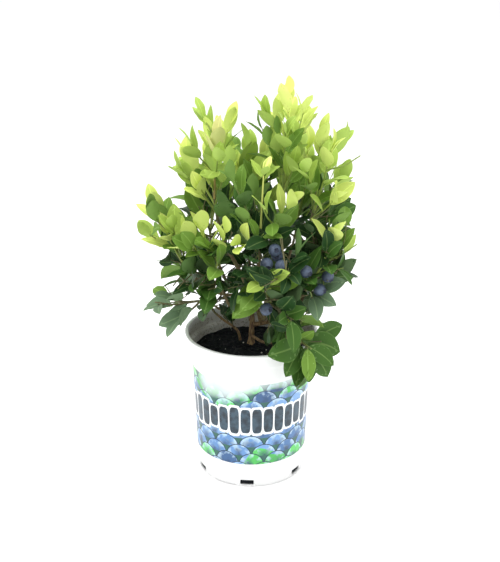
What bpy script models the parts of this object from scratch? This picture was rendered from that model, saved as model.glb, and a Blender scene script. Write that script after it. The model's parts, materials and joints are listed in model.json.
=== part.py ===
"""Blueberry bush in a nursery pot: pot, soil, stems, boughs and masses of foliage.

Sizes are written in millimetres and become metres where the meshes are made.
The origin is the middle of the pot's flat underside, +Z is up, and the side
that the photograph shows looks towards -Y, with its right-hand side at +X.
"""

import math
import random
from dataclasses import dataclass

import bmesh
import bpy
import numpy as np

MM = 0.001
GAP = 0.3
UP = np.array((0.0, 0.0, 1.0))

# Pot: a thin moulded pot with a stepped collar under a rolled lip.
POT_HEIGHT = 185.5
BASE_RADIUS = 66.5
FOOT_RADIUS = 68.2
FOOT_HEIGHT = 4.0
NECK_RADIUS = 74.6
NECK_HEIGHT = 166.0
COLLAR_RADIUS = 79.2
COLLAR_STEP = 2.0
LIP_RADIUS = 82.5
LIP_HEIGHT = 3.5
LIP_BEAD = 1.0
COLLAR_DRAFT = 0.9
EDGE_ROUND = 1.2
MOUTH_RADIUS = 78.0
WALL = 1.6
FLOOR = 2.0
POT_SIDES = 32

# Drain slots through the foot of the wall, and shallow arches in its edge.
SLOT_COUNT = 6
SLOT_WIDTH = 17.0
SLOT_HEIGHT = 7.2
SLOT_BOTTOM = 3.0
SLOT_TURN = math.radians(-4.5)
ARCH_COUNT = 3
ARCH_WIDTH = 33.0
ARCH_HEIGHT = 1.6
ARCH_TURN = math.radians(-29.0)
CUT_DEPTH = 8.0
CUT_INWARD = 3.0

# Soil: a bark mix that settles a little lower round the edge.
SOIL_LEVEL = 160.0
SOIL_EDGE_DROP = 2.5
SOIL_FLAT_RADIUS = 34.0
SOIL_SHOULDER = 0.8
SOIL_TOE = 2.0

# Trunk: one short stem with a flared foot, cut flat on the soil.
TRUNK_FOOT = (0.0, 12.0, SOIL_LEVEL + GAP)
TRUNK_FORK = (1.0, 10.0, 195.0)
TRUNK_RADIUS = 3.7
FORK_RADIUS = 3.1
FLARE_RADIUS = 5.6
FLARE_HEIGHT = 9.0
TRUNK_RINGS = (0.0, 0.10, 0.26, 0.6, 1.0)
TRUNK_SIDES = 10
BOUGH_SIDES = 5
CANE_STEPS = 4
FEWEST_STEPS = 3
LEAD = 2.5
CURVE_REACH = 0.38
STEP_LENGTH = 34.0

# Growth rule of the leafy twigs, the same for every mass.
LEAF_LENGTH = 46.0
LEAF_WIDTH = 0.50
LEAF_THICKNESS = 0.9
LEAF_ROOT = 0.2
LEAF_BELLY = 0.46
LEAF_STEP = 10.5
LEAF_SIZES = (0.80, 0.92, 1.0, 1.04, 1.0, 0.96)
LEAF_TURN = math.radians(137.5)
LEAVES_PER_SHOOT = 6
FEWEST_LEAVES = 3
LEAFY_SHARE = 0.8
LOWEST_LEAF = 0.12
LEAF_ANGLE = 12.0
LEAF_SWAY = 8.0
LEAF_GROWTH = (0.9, 1.08)
LEAF_LIFT = (-0.16, 0.22)
FACE_LIFT = 0.35
SPREAD_HIGH = 26.0
SPREAD_LOW = 44.0
HIGH_GROWTH = 370.0
LOW_GROWTH = 300.0
DROOP = 0.26
BARE_STEP = 3.4
BARE_LEAVES = 6
BARE_ANGLE = 16.0
BARE_SPREAD = 9.0
BARE_SIZES = (0.42, 0.045)
ROSETTE_STEP = 3.2
ROSETTE_LEAVES = 9
ROSETTE_ANGLE = 34.0
ROSETTE_SPREAD = 48.0
ROSETTE_RISE = 0.3
STEM_SHARE = 0.42
STEM_RISE = 12.0
STEM_THINNING = 0.95
FIRST_SHOOT = 0.40
LAST_SHOOT = 0.96
SHOOT_STEP = 30.0
SHOOT_BENDS = (0.5, 0.1, 1.0, 1.8, 3.0)
SHOOT_RISE = 0.55
TWIG_RADIUS = 1.5
TWIG_TIP_RADIUS = 0.75
TWIG_SIDES = 3
SIDE_TWIG_EVERY = 66.0
SIDE_TWIG_LENGTH = 46.0
SIDE_TWIG_START = 0.25
SIDE_TWIG_SPAN = 0.5
SIDE_TWIG_GROWTH = (0.7, 1.1)
SIDE_TWIG_WAYS = 6
SIDE_TWIG_THINNING = 0.75
SIDE_TWIG_LEAF = 0.92
LEAF_TRIES = 16
LEAF_SWING = math.radians(21.0)
SHRINK_AFTER = 0.6
SHRINK = 0.8
SPACE_MARGIN = 1.6
LIMB_MARGIN = 1.25
TWIG_MARGIN = 0.5
LEAF_REACHES = 1.3
LEAF_SPACING = 9.0

# Outline of the crown: an upright oval, with the trunk's foot left in view.
RIM_MARGIN = 1.5
WALL_MARGIN = 4.0
SOIL_MARGIN = 3.0
SIGHT_WAY = np.array((0.0, -0.93, 0.36))
SIGHT_LENGTH = 200.0
SIGHT_SHARES = (0.12, 0.80)
CROWN_CENTRE = (-5.0, 2.0)
CROWN_REACH = (136.0, 128.0)
CROWN_TOP = 505.0
TRUNK_VIEW_WIDTH = 15.0
TRUNK_VIEW_HEIGHT = 203.0
TRUNK_VIEW_SLOPE = 0.39

# Fruit: balls on short stalks, left free of leaves towards the outside.
FRUIT_RADIUS = 7.4
FRUIT_PLACES = ((0.3, 1.0, 10.5), (-9.0, -3.0, -4.5), (7.5, -1.0, -7.5), (3.0, 7.0, 1.5))
FRUIT_MARGIN = 1.5
FRUIT_SIGHT = 60.0
STALK_RADIUS = 0.8
FRUIT_SIDES = 6
FRUIT_RINGS = 5
FRUIT_SHOWN = -70.0


@dataclass(frozen=True)
class Limb:
    """A tapering bough: the limb that carries it, where, and its own tip."""

    name: str
    parent: str
    along: float
    tip: tuple
    radius: float
    tip_radius: float
    rise: float = 0.7


@dataclass(frozen=True)
class Mass:
    """A mass of foliage: its bough, the tips of its shoots and its fruit."""

    name: str
    bough: str
    colour: tuple
    leaf: float
    seed: int
    shoots: tuple
    rosettes: tuple = ()
    fruit: tuple = ()
    bare: tuple = ()

    def kind(self, tip):
        """Return the kind of the shoot that ends at a tip."""
        if tip in self.rosettes:
            return "rosette"
        return "bare" if tip in self.bare else "shoot"


@dataclass
class Twig:
    """One twig: the points of its middle line and its two end radii."""

    points: np.ndarray
    radius: float
    tip_radius: float
    kind: str


def dome(centre, reach, count, start=0.0, low=0.1):
    """Return shoot tips spread evenly over the outer side of a dome."""
    tips = []
    for index in range(count):
        height = low + (1.0 - low) * (index + 0.5) / count
        ring = math.sqrt(1.0 - height * height)
        turn = start + index * LEAF_TURN
        tips.append((
            centre[0] + reach[0] * ring * math.cos(turn),
            centre[1] + reach[1] * ring * math.sin(turn),
            centre[2] + reach[2] * height,
        ))
    return tuple(tips)


DEEP = (0.020, 0.075, 0.018)
MID = (0.050, 0.160, 0.020)
FRESH = (0.180, 0.380, 0.035)
YOUNG = (0.380, 0.560, 0.070)

LIMBS = (
    Limb("bough_left", "trunk", 1.00, (-40, 4, 326), 3.0, 1.9),
    Limb("bough_right", "trunk", 0.86, (35, 2, 340), 2.7, 1.9),
    Limb("bough_back", "bough_left", 0.10, (-2, 52, 300), 2.4, 1.8),
    Limb("bough_front", "bough_right", 0.16, (10, -34, 300), 2.4, 1.8),
    Limb("bough_far_right", "bough_right", 0.42, (68, -6, 318), 2.1, 1.7),
    Limb("bough_mid_left", "bough_left", 0.34, (-74, -6, 262), 2.1, 1.7),
    Limb("bough_back_left", "bough_left", 0.22, (-50, 50, 280), 2.1, 1.7),
    Limb("bough_back_right", "bough_right", 0.28, (52, 48, 280), 2.1, 1.7),
    Limb("bough_front_left", "bough_left", 0.16, (-38, -36, 262), 2.0, 1.6),
    Limb("bough_mid_right", "bough_right", 0.22, (66, -34, 252), 2.0, 1.6),
    Limb("bough_low_front", "bough_front", 0.26, (16, -62, 246), 1.8, 1.5),
    Limb("bough_low_left", "bough_front_left", 0.45, (-54, -32, 236), 1.5, 1.3, 0.1),
    Limb("bough_low_back", "bough_back", 0.28, (8, 74, 232), 1.8, 1.5, 0.2),
    Limb("bough_overhang", "trunk", 0.55, (46, -62, 199), 1.8, 1.5, 0.1),
)

LOW_CANE_FOOT = (-14.0, 20.0, SOIL_LEVEL + GAP)
LOW_CANE_TIP = (-44.0, 18.0, 198.0)
LOW_CANE_RADII = (1.8, 1.4)

MASSES = (
    Mass("foliage_top_right", "bough_right", YOUNG, 0.84, 16,
         ((43, 0, 476), (58, -20, 458), (32, 20, 446), (38, -38, 440), (60, 12, 434),
          (48, -34, 402), (28, -10, 418))),
    Mass("foliage_far_right", "bough_far_right", FRESH, 0.88, 4,
         ((80, 0, 424), (90, -25, 416), (104, 0, 376), (96, -48, 368), (62, -52, 398),
          (84, 34, 380), (98, 26, 336))),
    Mass("foliage_top_left", "bough_left", YOUNG, 0.90, 8,
         ((-40, 0, 422), (-27, 25, 434), (-50, 32, 410), (-74, 20, 397), (-78, 0, 384),
          (-57, -28, 371), (-30, -10, 392))),
    Mass("foliage_back", "bough_back", FRESH, 0.96, 26,
         ((8, 12, 384), (22, 30, 404), (-22, 36, 404), (-4, 62, 396))
         + dome((0, 62, 300), (46, 40, 72), 5, 0.6)),
    Mass("foliage_front", "bough_front", FRESH, 0.90, 25,
         ((14, -60, 408), (46, -64, 366), (-19, -58, 388), (-12, -74, 322), (34, -62, 346),
          (2, -20, 370), (8, -40, 322), (12, -58, 300)),
         fruit=((26, -84, 308, 4),), bare=((14, -60, 408),)),
    Mass("foliage_mid_left", "bough_mid_left", MID, 0.88, 22,
         ((-111, -10, 346), (-98, -30, 318), (-90, -44, 330), (-94, 4, 290), (-92, -30, 256),
          (-84, 28, 318), (-88, 24, 262))),
    Mass("foliage_front_left", "bough_front_left", MID, 0.96, 1,
         ((-72, -58, 326), (-54, -56, 330), (-30, -68, 332), (-36, -80, 300), (-44, -66, 262),
          (-70, -62, 286), (-60, -46, 246), (-24, -74, 276), (-56, -52, 284))),
    Mass("foliage_mid_right", "bough_mid_right", MID, 0.94, 29,
         ((96, -56, 326), (102, -38, 300), (98, -46, 276), (84, -52, 260), (78, -30, 316),
          (70, -70, 256), (106, -12, 262), (72, -24, 238), (74, -34, 268), (73, -30, 294),
          (88, -30, 340)),
         fruit=((108, -16, 322, 2), (88, -62, 268, 2), (62, -84, 293, 1))),
    Mass("foliage_low_front", "bough_low_front", MID, 0.92, 8,
         ((54, -82, 318), (26, -90, 262), (-12, -84, 290), (50, -78, 254), (-18, -76, 256),
          (36, -70, 238), (60, -62, 224)),
         ((15, -100, 286),), ((17, -84, 247, 1),)),
    Mass("foliage_low_left", "bough_low_left", DEEP, 0.90, 20,
         ((-88, -50, 246), (-112, -42, 238), (-100, -14, 234), (-82, -56, 226))),
    Mass("foliage_low_cane", "low_cane", DEEP, 0.90, 31,
         ((-78, 30, 236), (-52, 40, 246), (-60, 2, 222), (-86, 50, 256), (-30, 44, 222))),
    Mass("foliage_low_back", "bough_low_back", DEEP, 0.95, 15,
         dome((6, 76, 228), (66, 28, 50), 7, 0.3)),
    Mass("foliage_back_left", "bough_back_left", MID, 0.95, 7,
         dome((-50, 50, 282), (40, 44, 102), 9, 1.0)),
    Mass("foliage_back_right", "bough_back_right", MID, 0.95, 5,
         dome((62, 52, 282), (46, 46, 118), 9, 0.75)),
    Mass("foliage_overhang", "bough_overhang", FRESH, 1.06, 178,
         ((36, -40, 222), (66, -40, 224)), ((68, -95, 203),)),
)


def unit(vector):
    """Return the vector at a length of one."""
    return vector / np.linalg.norm(vector)


def curve(start, start_way, end, end_way, steps):
    """Return points along a cubic curve from start to end."""
    reach = np.linalg.norm(end - start) * CURVE_REACH
    second = start + unit(start_way) * reach
    third = end - unit(end_way) * reach
    t = np.linspace(0.0, 1.0, steps + 1)[:, None]
    return ((1 - t) ** 3 * start + 3 * (1 - t) ** 2 * t * second
            + 3 * (1 - t) * t ** 2 * third + t ** 3 * end)


def led_curve(start, start_way, end, end_way, steps):
    """Return a curve with a short straight lead, which squares its foot."""
    lead = start + unit(start_way) * LEAD
    return np.vstack((start, curve(lead, start_way, end, end_way, steps)))


def tangents(points):
    """Return the unit direction of a line of points at each point."""
    ways = np.gradient(points, axis=0)
    return ways / np.linalg.norm(ways, axis=1)[:, None]


def cross_frame(way):
    """Return two unit vectors across a direction."""
    side = np.cross(way, (0.0, 1.0, 0.0))
    if np.linalg.norm(side) < 0.2:
        side = np.cross(way, (1.0, 0.0, 0.0))
    side = unit(side)
    return side, np.cross(side, way)


def frames(points):
    """Return cross vectors carried along a line of points without twist."""
    ways = tangents(points)
    side = cross_frame(ways[0])[0]
    result = []
    for way in ways:
        side = unit(side - way * float(side @ way))
        result.append((side, np.cross(way, side)))
    return result


def at(points, share):
    """Return the point and direction at a share of a line's points."""
    place = share * (len(points) - 1)
    index = min(int(place), len(points) - 2)
    part = place - index
    point = points[index] * (1 - part) + points[index + 1] * part
    return point, unit(points[index + 1] - points[index])


def grow_limbs():
    """Return each limb's middle line and radii, trunk and cane first."""
    limbs = {}
    foot, fork = np.array(TRUNK_FOOT), np.array(TRUNK_FORK)
    lean = fork - foot
    shares = np.array(TRUNK_RINGS)
    radii = FORK_RADIUS + (TRUNK_RADIUS - FORK_RADIUS) * (1 - shares)
    radii += (FLARE_RADIUS - TRUNK_RADIUS) * np.clip(1 - shares * lean[2] / FLARE_HEIGHT, 0, 1) ** 2
    drift = np.clip((shares - shares[1]) / (1 - shares[1]), 0, 1)
    rises = np.stack((lean[0] * drift, lean[1] * drift, lean[2] * shares), axis=1)
    limbs["trunk"] = (foot + rises, radii)
    foot, tip = np.array(LOW_CANE_FOOT), np.array(LOW_CANE_TIP)
    line = led_curve(foot, UP, tip, tip - foot, CANE_STEPS)
    limbs["low_cane"] = (line, np.linspace(*LOW_CANE_RADII, len(line)))
    for limb in LIMBS:
        limbs[limb.name] = grow_bough(limb, *limbs[limb.parent])
    return limbs


def grow_bough(limb, parent_line, parent_radii):
    """Return a bough's line and radii, its foot just clear of its parent."""
    place, way = at(parent_line, limb.along)
    tip = np.array(limb.tip, dtype=float)
    if limb.along == 1.0:
        start, out = place + way * GAP, way
    else:
        out = tip - place
        out = unit(out - way * float(out @ way))
        radius = np.interp(limb.along, np.linspace(0, 1, len(parent_radii)), parent_radii)
        start = place + out * (radius + GAP)
    length = np.linalg.norm(tip - start)
    line = led_curve(start, out, tip, unit(tip - start) + UP * limb.rise,
                     FEWEST_STEPS + int(length / STEP_LENGTH))
    return line, np.linspace(limb.radius, limb.tip_radius, len(line))


def grow_stem(mass, line, radii):
    """Return the mass's own stem, which starts clear of its bough's tip."""
    way = tangents(line)[-1]
    start = line[-1] + way * GAP
    tips = np.array(mass.shoots + mass.rosettes, dtype=float)
    heart = start + (tips.mean(axis=0) - start) * STEM_SHARE
    points = led_curve(start, way, heart, heart - start + UP * STEM_RISE, 2)
    return Twig(points, radii[-1] * STEM_THINNING, TWIG_RADIUS, "stem")


def grow_shoots(mass, stem, space, owner):
    """Return the shoots that leave the stem in order of height and find room."""
    order = sorted(mass.shoots + mass.rosettes, key=lambda tip: tip[2])
    shoots = []
    for index, tip in enumerate(order):
        share = FIRST_SHOOT + (LAST_SHOOT - FIRST_SHOOT) * (index + 1) / len(order)
        start, way = at(stem.points, share)
        end = np.array(tip, dtype=float)
        line_way = unit(end - start)
        kind = mass.kind(tip)
        last_way = line_way + UP * SHOOT_RISE
        if kind == "rosette":
            last_way = unit(end * (1.0, 1.0, 0.0)) + UP * ROSETTE_RISE
        steps = max(2, int(np.linalg.norm(end - start) / SHOOT_STEP))
        for bend in SHOOT_BENDS:
            points = curve(start, way * bend + line_way, end, last_way, steps)
            if space.free_line(points, owner):
                shoots.append(Twig(points, TWIG_RADIUS, TWIG_TIP_RADIUS, kind))
                space.add_twig(shoots[-1], owner)
                break
    return shoots


def grow_side_twigs(shoots, draw, space, mass_index):
    """Return twigs that leave the long shoots by the seeded rule."""
    twigs = []
    for shoot in shoots:
        if shoot.kind != "shoot":
            continue
        length = np.linalg.norm(np.diff(shoot.points, axis=0), axis=1).sum()
        count = int(length / SIDE_TWIG_EVERY)
        for index in range(count):
            share = SIDE_TWIG_START + SIDE_TWIG_SPAN * (index + draw.random()) / count
            start, way = at(shoot.points, share)
            side, front = cross_frame(way)
            first_turn = draw.random() * math.tau
            reach = SIDE_TWIG_LENGTH * draw.uniform(*SIDE_TWIG_GROWTH)
            for turn in range(SIDE_TWIG_WAYS):
                angle = first_turn + turn * math.tau / SIDE_TWIG_WAYS
                out = side * math.cos(angle) + front * math.sin(angle)
                end = start + (way * 0.55 + out * 0.8 + UP * 0.15) * reach
                points = curve(start, way + out, end, way + out * 0.6 + UP * 0.5, 2)
                dense = closely(points, np.zeros(3))[0][1:]
                if space.holds(dense, mass_index) and not space.near_twig(points[1:]):
                    twig = Twig(points, TWIG_RADIUS * SIDE_TWIG_THINNING, TWIG_TIP_RADIUS,
                                "side")
                    twigs.append(twig)
                    space.add_twig(twig, mass_index)
                    break
    return twigs


class Space:
    """The room each mass may fill: nearer to its own twigs than to others."""

    def __init__(self, limbs):
        """Keep closely spaced points of every limb, with their radii."""
        points, radii, lines = [], [], []
        for line, limb_radii in limbs.values():
            dense, dense_radii = closely(line, limb_radii)
            points.append(dense)
            radii.append(dense_radii)
            lines.append(np.stack((line[:-1], line[1:]), axis=1))
        self.limb_points = np.vstack(points)
        self.limb_radii = np.concatenate(radii)
        self.limb_lines = np.vstack(lines)
        self.twig_points = np.zeros((0, 3))
        self.owners = np.zeros(0, dtype=int)
        self.twig_lines = np.zeros((0, 2, 3))
        self.leaf_lines = np.zeros((0, 2, 3))
        self.leaf_faces = np.zeros((0, 3, 3))
        self.leaf_centres = np.zeros((0, 3))
        self.sight_lines = np.zeros((0, 2, 3))
        self.fruit = []

    def keep_in_view(self, twig):
        """Keep leaves from passing in front of a bare shoot."""
        dense = closely(twig.points, np.zeros(len(twig.points)))[0]
        first, last = (int(share * len(dense)) for share in SIGHT_SHARES)
        shown = dense[first:last]
        self.sight_lines = np.stack((shown, shown + SIGHT_WAY * SIGHT_LENGTH), axis=1)

    def add_twig(self, twig, owner):
        """Add a twig's points to the room that its mass holds."""
        dense = closely(twig.points, np.zeros(len(twig.points)))[0]
        self.twig_points = np.vstack((self.twig_points, dense))
        self.owners = np.concatenate((self.owners, np.full(len(dense), owner)))
        lines = np.stack((twig.points[:-1], twig.points[1:]), axis=1)
        self.twig_lines = np.vstack((self.twig_lines, lines))

    def free_line(self, points, owner):
        """Tell whether a shoot's line stays off the limbs and other masses."""
        dense = closely(points, np.zeros(len(points)))[0]
        to_limbs = np.linalg.norm(dense[:, None] - self.limb_points[None], axis=2)
        if (to_limbs - self.limb_radii).min() < TWIG_RADIUS + TWIG_MARGIN:
            return False
        others = self.twig_points[self.owners != owner]
        to_others = np.linalg.norm(dense[:, None] - others[None], axis=2)
        return to_others.min() > 2 * TWIG_RADIUS + TWIG_MARGIN

    def holds(self, points, owner):
        """Tell whether points lie in the owner's room, off limbs and pot."""
        if not in_outline(points):
            return False
        to_limbs = np.linalg.norm(points[:, None] - self.limb_points[None], axis=2)
        if (to_limbs - self.limb_radii).min() < SPACE_MARGIN:
            return False
        to_twigs = np.linalg.norm(points[:, None] - self.twig_points[None], axis=2)
        own = to_twigs[:, self.owners == owner].min(axis=1)
        others = to_twigs[:, self.owners != owner].min(axis=1)
        return (others - own).min() > SPACE_MARGIN

    def near_twig(self, points):
        """Tell whether the outer points come close to any twig at all."""
        outer = points[1:]
        distances = np.linalg.norm(outer[:, None] - self.twig_points[None], axis=2)
        return distances.min() < 2 * LEAF_SPACING

    def off_fruit(self, outline):
        """Tell whether a leaf leaves the fruit free on its outer side."""
        for place, radius in self.fruit:
            way = unit(place - np.array((0.0, 0.0, place[2] - FRUIT_SIGHT)))
            away = outline - place
            ahead = away @ way
            beside = np.linalg.norm(away - ahead[:, None] * way, axis=1)
            if (np.linalg.norm(away, axis=1) < radius + FRUIT_MARGIN).any():
                return False
            hidden = (ahead > 0) & (beside < radius + FRUIT_MARGIN)
            if place[1] < FRUIT_SHOWN and hidden.any():
                return False
        return True

    def takes_leaf(self, outline, owner):
        """Tell whether a leaf fits, and if so count it as taken."""
        centre = outline.mean(axis=0)
        near = np.linalg.norm(self.leaf_centres - centre, axis=1)
        if len(near) and near.min() < LEAF_SPACING:
            return False
        if not self.off_fruit(outline) or not self.holds(outline, owner):
            return False
        root, left, right, tip = outline[0], outline[3], outline[4], outline[-1]
        faces = np.array(((root, left, right), (tip, left, right)))
        lines = np.array(((root, left), (left, tip), (tip, right), (right, root), (root, tip)))
        reachable = near < LEAF_LENGTH * LEAF_REACHES
        close, close_lines = np.repeat(reachable, len(faces)), np.repeat(reachable, len(lines))
        wide = centre + (faces - centre) * LIMB_MARGIN
        if pierced(self.leaf_faces[close], lines) or pierced(faces, self.twig_lines):
            return False
        if pierced(wide, self.limb_lines) or pierced(wide, self.sight_lines):
            return False
        if pierced(faces, self.leaf_lines[close_lines]):
            return False
        self.leaf_centres = np.vstack((self.leaf_centres, centre))
        self.leaf_faces = np.vstack((self.leaf_faces, faces))
        self.leaf_lines = np.vstack((self.leaf_lines, lines))
        return True


def pierced(faces, lines):
    """Tell whether any of the lines goes through any three-cornered face."""
    if not len(faces) or not len(lines):
        return False
    corner = faces[:, None, 0]
    first = faces[:, None, 1] - corner
    second = faces[:, None, 2] - corner
    way = (lines[:, 1] - lines[:, 0])[None]
    start = lines[None, :, 0] - corner
    normal = np.cross(first, second)
    slope = (way * normal).sum(axis=2)
    slope = np.where(np.abs(slope) < 1e-9, 1e-9, slope)
    along = -(start * normal).sum(axis=2) / slope
    turned_way = np.cross(start, way)
    one = -(second * turned_way).sum(axis=2) / slope
    two = (first * turned_way).sum(axis=2) / slope
    inside = (one > 0) & (two > 0) & (one + two < 1)
    return bool((inside & (along > 0) & (along < 1)).any())


def closely(line, radii):
    """Return a line's points and radii again at steps of about 3 mm."""
    lengths = np.concatenate(((0.0,), np.cumsum(np.linalg.norm(np.diff(line, axis=0), axis=1))))
    steps = np.linspace(0.0, lengths[-1], max(2, int(lengths[-1] / 3.0) + 1))
    points = np.stack([np.interp(steps, lengths, line[:, axis]) for axis in range(3)], axis=1)
    return points, np.interp(steps, lengths, radii)


def in_outline(points):
    """Tell whether points lie in the crown's outline and off pot and soil."""
    x, y, z = points.T
    ring = np.hypot(x, y)
    above_rim = z > POT_HEIGHT + RIM_MARGIN
    inside = (ring < NECK_RADIUS - WALL_MARGIN) & (z > SOIL_LEVEL + SOIL_MARGIN)
    outside = ring > LIP_RADIUS + RIM_MARGIN
    across = (x - CROWN_CENTRE[0]) / CROWN_REACH[0]
    deep = (y - CROWN_CENTRE[1]) / CROWN_REACH[1]
    in_crown = (across ** 2 + deep ** 2 < 1.0) & (z < CROWN_TOP)
    low = z < TRUNK_VIEW_HEIGHT + TRUNK_VIEW_SLOPE * (TRUNK_FOOT[1] - y)
    hides_trunk = low & (np.abs(x) < TRUNK_VIEW_WIDTH) & (y < TRUNK_FOOT[1])
    return bool(((above_rim | inside | outside) & in_crown & ~hides_trunk).all())


def leaf_frame(base, way, turn, angle, lift):
    """Return a leaf's own directions: along it, across it and off its face."""
    side, front = cross_frame(way)
    out = side * math.cos(turn) + front * math.sin(turn)
    along = unit(way * math.cos(angle) + out * math.sin(angle) + UP * lift)
    face = way + UP * FACE_LIFT
    face = unit(face - along * float(face @ along))
    return along, np.cross(along, face), face


def leaf_outline(base, along, across, length):
    """Return sample points round a leaf and down its middle."""
    places = ((0.09, 0.0), (0.3, 0.7), (0.3, -0.7), (0.5, 1.0), (0.5, -1.0), (0.5, 0.0),
              (0.75, 0.5), (0.75, -0.5), (1.0, 0.0))
    half = 0.5 * LEAF_WIDTH * length
    return np.array([base + along * (length * down) + across * (half * out)
                     for down, out in places])


def leaf_plan(twig):
    """Return each leaf's distance from the twig's tip, angle and size."""
    if twig.kind == "rosette":
        return [(index * ROSETTE_STEP, ROSETTE_ANGLE + ROSETTE_SPREAD * min(1.0, index / 4.0),
                 0.72 + 0.09 * min(index, 5)) for index in range(ROSETTE_LEAVES)]
    if twig.kind == "bare":
        return [(index * BARE_STEP, BARE_ANGLE + BARE_SPREAD * index,
                 BARE_SIZES[0] + BARE_SIZES[1] * index) for index in range(BARE_LEAVES)]
    length = np.linalg.norm(np.diff(twig.points, axis=0), axis=1).sum()
    count = min(LEAVES_PER_SHOOT, max(FEWEST_LEAVES, int(length * LEAFY_SHARE / LEAF_STEP)))
    scale = SIDE_TWIG_LEAF if twig.kind == "side" else 1.0
    spread = SPREAD_HIGH if twig.points[-1, 2] > HIGH_GROWTH else SPREAD_LOW
    return [(index * LEAF_STEP, LEAF_ANGLE + spread * min(1.0, index / 3.0),
             LEAF_SIZES[index] * scale) for index in range(count)]


def grow_leaves(twig, size, draw, space, mass_index):
    """Return the leaves of one twig, each turned until it finds room."""
    leaves = []
    length = np.linalg.norm(np.diff(twig.points, axis=0), axis=1).sum()
    first_turn = draw.random() * math.tau
    for index, (down, degrees, growth) in enumerate(leaf_plan(twig)):
        base, way = at(twig.points, max(1.0 - down / length, LOWEST_LEAF))
        turn = first_turn + index * LEAF_TURN
        angle = math.radians(degrees + draw.uniform(-LEAF_SWAY, LEAF_SWAY))
        reach = LEAF_LENGTH * size * growth * draw.uniform(*LEAF_GROWTH)
        lift = draw.uniform(*LEAF_LIFT) - DROOP * (base[2] < LOW_GROWTH)
        for attempt in range(LEAF_TRIES):
            swing = (attempt + 1) // 2 * LEAF_SWING * (1 if attempt % 2 else -1)
            shrink = 1.0 if attempt < SHRINK_AFTER * LEAF_TRIES else SHRINK
            along, across, face = leaf_frame(base, way, turn + swing, angle, lift)
            outline = leaf_outline(base, along, across, reach * shrink)
            if space.takes_leaf(outline, mass_index):
                leaves.append((base, along, across, face, reach * shrink))
                break
    return leaves


def hang_fruit(cluster, twigs):
    """Return a cluster's stalks and its fruit round a common hub."""
    hub = np.array(cluster[:3], dtype=float)
    dense = np.vstack([closely(twig.points, np.zeros(len(twig.points)))[0] for twig in twigs])
    nearest = dense[np.argmin(np.linalg.norm(dense - hub, axis=1))]
    count = cluster[3]
    places = [hub + place for place in np.array(FRUIT_PLACES)[:count] * (count > 1)]
    stalks = [(nearest, place) for place in places]
    return stalks, places


def grow_plant():
    """Return the limbs and, for each mass, its twigs, leaves and fruit."""
    limbs = grow_limbs()
    space = Space(limbs)
    grown = []
    for index, mass in enumerate(MASSES):
        grown.append([grow_stem(mass, *limbs[mass.bough])])
        space.add_twig(grown[index][0], index)
    for index, mass in enumerate(MASSES):
        grown[index] += grow_shoots(mass, grown[index][0], space, index)
    for twig in [twig for twigs in grown for twig in twigs if twig.kind == "bare"]:
        space.keep_in_view(twig)
    fruit = []
    for index, mass in enumerate(MASSES):
        hung = [hang_fruit(cluster, grown[index]) for cluster in mass.fruit]
        space.fruit += [(place, FRUIT_RADIUS) for _, places in hung for place in places]
        fruit.append(hung)
    for index, mass in enumerate(MASSES):
        draw = random.Random(40 + index)
        grown[index] += grow_side_twigs(grown[index][1:], draw, space, index)
    plant = []
    for index, mass in enumerate(MASSES):
        draw = random.Random(mass.seed)
        leaves = []
        for twig in grown[index][1:]:
            leaves += grow_leaves(twig, mass.leaf, draw, space, index)
        plant.append((mass, grown[index], leaves, fruit[index]))
    return limbs, plant


def material(name, colour, roughness):
    """Return a plain Principled material."""
    made = bpy.data.materials.new(name)
    made.use_nodes = True
    shader = made.node_tree.nodes["Principled BSDF"]
    shader.inputs["Base Color"].default_value = (*colour, 1.0)
    shader.inputs["Roughness"].default_value = roughness
    shader.inputs["Metallic"].default_value = 0.0
    made.diffuse_color = (*colour, 1.0)
    return made


def new_object(name, vertices, faces, surface=None):
    """Return a new object made from points in millimetres."""
    mesh = bpy.data.meshes.new(name)
    mesh.from_pydata([tuple(float(value) * MM for value in point) for point in vertices], [], faces)
    mesh.update()
    if surface:
        mesh.materials.append(surface)
    made = bpy.data.objects.new(name, mesh)
    bpy.context.scene.collection.objects.link(made)
    return made


def face_outward(made):
    """Turn every face of a closed mesh outward."""
    work = bmesh.new()
    work.from_mesh(made.data)
    bmesh.ops.recalc_face_normals(work, faces=work.faces)
    work.to_mesh(made.data)
    work.free()


def shade_round(made, degrees=40.0):
    """Shade a round piece smooth and keep its real edges sharp."""
    made.data.shade_smooth()
    made.data.set_sharp_from_angle(angle=math.radians(degrees))


def turned(name, profile, sides, surface):
    """Return a solid turned about the Z axis from (radius, height) pairs."""
    vertices, faces, rings = [], [], []
    for radius, height in profile:
        if radius == 0.0:
            rings.append([len(vertices)] * sides)
            vertices.append((0.0, 0.0, height))
            continue
        rings.append(list(range(len(vertices), len(vertices) + sides)))
        for side in range(sides):
            angle = math.tau * side / sides
            vertices.append((radius * math.cos(angle), radius * math.sin(angle), height))
    for lower, upper in zip(rings, rings[1:]):
        for side in range(sides):
            after = (side + 1) % sides
            corners = (lower[side], lower[after], upper[after], upper[side])
            faces.append(tuple(dict.fromkeys(corners)))
    made = new_object(name, vertices, faces, surface)
    face_outward(made)
    return made


def tube_mesh(points, radii, sides):
    """Return the points and faces of a closed tapering tube."""
    vertices, faces = [], []
    for point, radius, (side, front) in zip(points, radii, frames(points)):
        for corner in range(sides):
            angle = math.tau * corner / sides
            vertices.append(point + radius * (side * math.cos(angle) + front * math.sin(angle)))
    for ring in range(len(points) - 1):
        low, high = ring * sides, (ring + 1) * sides
        for corner in range(sides):
            after = (corner + 1) % sides
            faces.append((low + corner, low + after, high + after, high + corner))
    faces.append(tuple(reversed(range(sides))))
    faces.append(tuple(range((len(points) - 1) * sides, len(points) * sides)))
    return vertices, faces


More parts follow.
